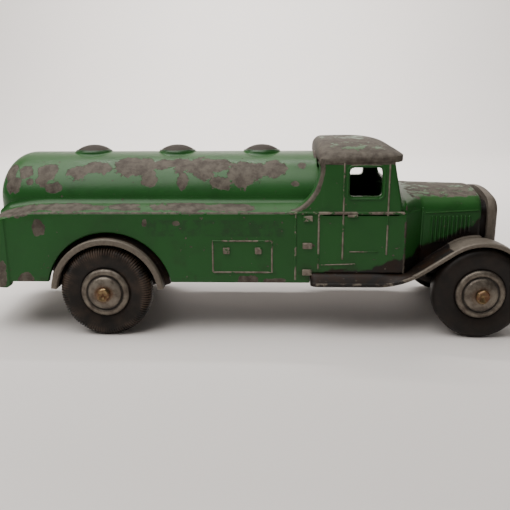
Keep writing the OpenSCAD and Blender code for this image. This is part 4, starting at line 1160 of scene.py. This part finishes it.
class WAGON_OT_body(bpy.types.Operator):
    """Builds the body casting: skirts, tank, caps, cab, roof, scuttle, bonnet and raised lines"""

    bl_idname = "wagon.body"
    bl_label = "Body casting"

    def execute(self, context):
        paint = enamel("green_stoving_enamel", 0.0, edge_lines=True)
        worn = enamel("rubbed_green_enamel", 0.5, gain=2.1)
        thin_paint = enamel("thin_green_enamel", 0.2, gain=1.4)
        for name, parts, finish in (
                ("skirts", [skirt_shell()], paint),
                ("tank", [tank_shell()] + [filler_cap(CAB_X - 10.8 - 16.7 * i) for i in range(3)], paint),
                ("cab_webs", sweep_web(), paint), ("cab", [cab_shell()], paint),
                ("roof", [roof_shell()], paint),
                ("bonnet", [bonnet_shell()], paint), ("raised_lines", bare_lines(), worn),
                ("louvres", painted_relief(), thin_paint)):
            made = mesh_piece(f"body_{name}", parts)
            if name == "cab":
                cast_wall(made)
            fit(made, "truck", "body_enamel", finish, "body_casting")
        return {"FINISHED"}


class WAGON_OT_chassis(bpy.types.Operator):
    """Builds the chassis casting: floor, lugs, front wings, running boards and rear mudguards"""

    bl_idname = "wagon.chassis"
    bl_label = "Chassis casting"

    def execute(self, context):
        chassis = mesh_piece("chassis", chassis_parts())
        fit(chassis, "truck", "chassis_enamel", worn_black("black_chassis_enamel", 0.0), "chassis_casting")
        return {"FINISHED"}


class WAGON_OT_radiator(bpy.types.Operator):
    """Builds the pressed tin radiator"""

    bl_idname = "wagon.radiator"
    bl_label = "Radiator"

    def execute(self, context):
        radiator = mesh_piece("radiator_shell", radiator_parts())
        fit(radiator, "truck", "radiator_tin", worn_black("black_radiator_enamel", 0.08), "radiator")
        return {"FINISHED"}


class WAGON_OT_wheels(bpy.types.Operator):
    """Builds the four hubs and the four tyres"""

    bl_idname = "wagon.wheels"
    bl_label = "Wheels"

    def execute(self, context):
        zinc = [dull_zinc("dull_zinc_front", 0.35), dull_zinc("dull_zinc_rear", 0.8)]
        rubber = [old_rubber("old_rubber_smooth", 0.25), old_rubber("old_rubber_ribbed", 0.7, ribbed=True)]
        for (end, x), metal, tyre_finish in zip(ENDS, zinc, rubber):
            for hand, side in (("left", 1), ("right", -1)):
                wheel = f"{end}_{hand}"
                hub = mesh_piece(f"hub_{wheel}_cast", [hub_part(x, side)])
                fit(hub, f"wheel_{wheel}", "hub_zinc", metal, f"hub_{wheel}")
                tyre = mesh_piece(f"tyre_{wheel}_moulded", [tyre_part(x, side, end == "rear")])
                fit(tyre, f"wheel_{wheel}", "tyre_rubber", tyre_finish, f"tyre_{wheel}")
        return {"FINISHED"}


class WAGON_OT_axles(bpy.types.Operator):
    """Builds the two axles with their peened ends"""

    bl_idname = "wagon.axles"
    bl_label = "Axles"

    def execute(self, context):
        wire = tarnished_wire()
        for end, x in ENDS:
            axle = mesh_piece(f"axle_{end}_peened", [axle_part(x)])
            fit(axle, f"{end}_axle_body", "axle_steel", wire, f"{end}_axle")
        return {"FINISHED"}


class WAGON_OT_rivets(bpy.types.Operator):
    """Builds the two rivets that hold the body to the chassis"""

    bl_idname = "wagon.rivets"
    bl_label = "Rivets"

    def execute(self, context):
        zinc = dull_zinc("hammered_zinc", 0.0)
        for node in ("front_rivet", "rear_rivet"):
            rivet = mesh_piece(f"{node}_hammered", [rivet_part(node)])
            fit(rivet, "truck", "rivet_zinc", zinc, node)
        return {"FINISHED"}


class WAGON_OT_stage(bpy.types.Operator):
    """Builds the pale floor, the soft lights and the camera"""

    bl_idname = "wagon.stage"
    bl_label = "Stage"

    def execute(self, context):
        floor = backdrop()
        area_light("Window", (-110, -70, 310), (0, 0, 10), 360, 2.1)
        area_light("Wall wash", (-40, 160, 330), (0, 480, 120), 200, 4.1)
        world = bpy.data.worlds.new("Soft room")
        world.use_nodes = True
        sky = world.node_tree.nodes["Background"]
        sky.inputs[0].default_value = (0.86, 0.85, 0.84, 1)
        sky.inputs[1].default_value = 0.16
        context.scene.world = world
        camera()
        return {"FINISHED"}


def backdrop():
    """Floor that sweeps up into a wall behind: level, a quarter round, then upright, in one sheet."""
    section = np.vstack([[[-700, 0], [200, 0]], arc(300, 220, 220, -90, 0, 24), [[520, 900]]])
    sheet = mesh_piece("backdrop_sheet", [grid(np.array([[(x, y, z) for x in np.linspace(-900, 900, 7)]
                                                         for y, z in section]))])
    sheet.data.materials.append(backdrop_paper())
    return sheet


def area_light(name, place, target, size, power):
    """A square soft light, in millimetres and watts, turned to a target."""
    lamp = bpy.data.lights.new(name, "AREA")
    lamp.size = size * MM
    lamp.energy = power
    lamp.color = (1.0, 0.98, 0.96)
    light = bpy.data.objects.new(name, lamp)
    light.location = Vector(place) * MM
    light.rotation_euler = (Vector(target) - Vector(place)).to_track_quat("-Z", "Y").to_euler()
    bpy.context.scene.collection.objects.link(light)


def camera():
    """Camera a little above the truck, square to its right side."""
    yaw, pitch, roll = -0.0404, 0.2628, -0.0071
    lens = bpy.data.cameras.new("Camera")
    lens.sensor_width = 36
    lens.lens = 45.63
    lens.clip_start = 0.005
    lens.clip_end = 10
    eye = bpy.data.objects.new("Camera", lens)
    forward = Vector((math.sin(yaw) * math.cos(pitch), math.cos(yaw) * math.cos(pitch), -math.sin(pitch)))
    right = Vector((math.cos(yaw), -math.sin(yaw), 0))
    up = right.cross(forward)
    matrix = np.eye(4)
    matrix[:3, 0] = right * math.cos(roll) + up * math.sin(roll)
    matrix[:3, 1] = up * math.cos(roll) - right * math.sin(roll)
    matrix[:3, 2] = -forward
    matrix[:3, 3] = Vector((5.30, -128.50, 46.04)) * MM
    eye.matrix_world = Matrix(matrix.tolist())
    bpy.context.scene.collection.objects.link(eye)
    bpy.context.scene.camera = eye


class WAGON_PT_panel(bpy.types.Panel):
    """Lists the wagon's pieces, sizes and colours in the sidebar"""

    bl_idname = "WAGON_PT_panel"
    bl_label = "Toy Tank Wagon"
    bl_space_type = "VIEW_3D"
    bl_region_type = "UI"
    bl_category = "Tank Wagon"

    def draw(self, context):
        for operator in OPERATORS:
            self.layout.operator(operator.bl_idname)
        for group in (context.scene.wagon_sizes, context.scene.wagon_colours):
            for name in group.__annotations__:
                self.layout.prop(group, name)


OPERATORS = (WAGON_OT_body, WAGON_OT_chassis, WAGON_OT_radiator, WAGON_OT_wheels, WAGON_OT_axles,
             WAGON_OT_rivets, WAGON_OT_stage)
CLASSES = (WagonSizes, WagonColours) + OPERATORS + (WAGON_PT_panel,)


def register():
    for made in CLASSES:
        bpy.utils.register_class(made)
    bpy.types.Scene.wagon_sizes = bpy.props.PointerProperty(type=WagonSizes)
    bpy.types.Scene.wagon_colours = bpy.props.PointerProperty(type=WagonColours)


def unregister():
    del bpy.types.Scene.wagon_colours
    del bpy.types.Scene.wagon_sizes
    for made in reversed(CLASSES):
        bpy.utils.unregister_class(made)


def main():
    register()
    bpy.ops.wagon.body()
    bpy.ops.wagon.chassis()
    bpy.ops.wagon.radiator()
    bpy.ops.wagon.wheels()
    bpy.ops.wagon.axles()
    bpy.ops.wagon.rivets()
    bpy.ops.wagon.stage()


if __name__ == "__main__":
    main()
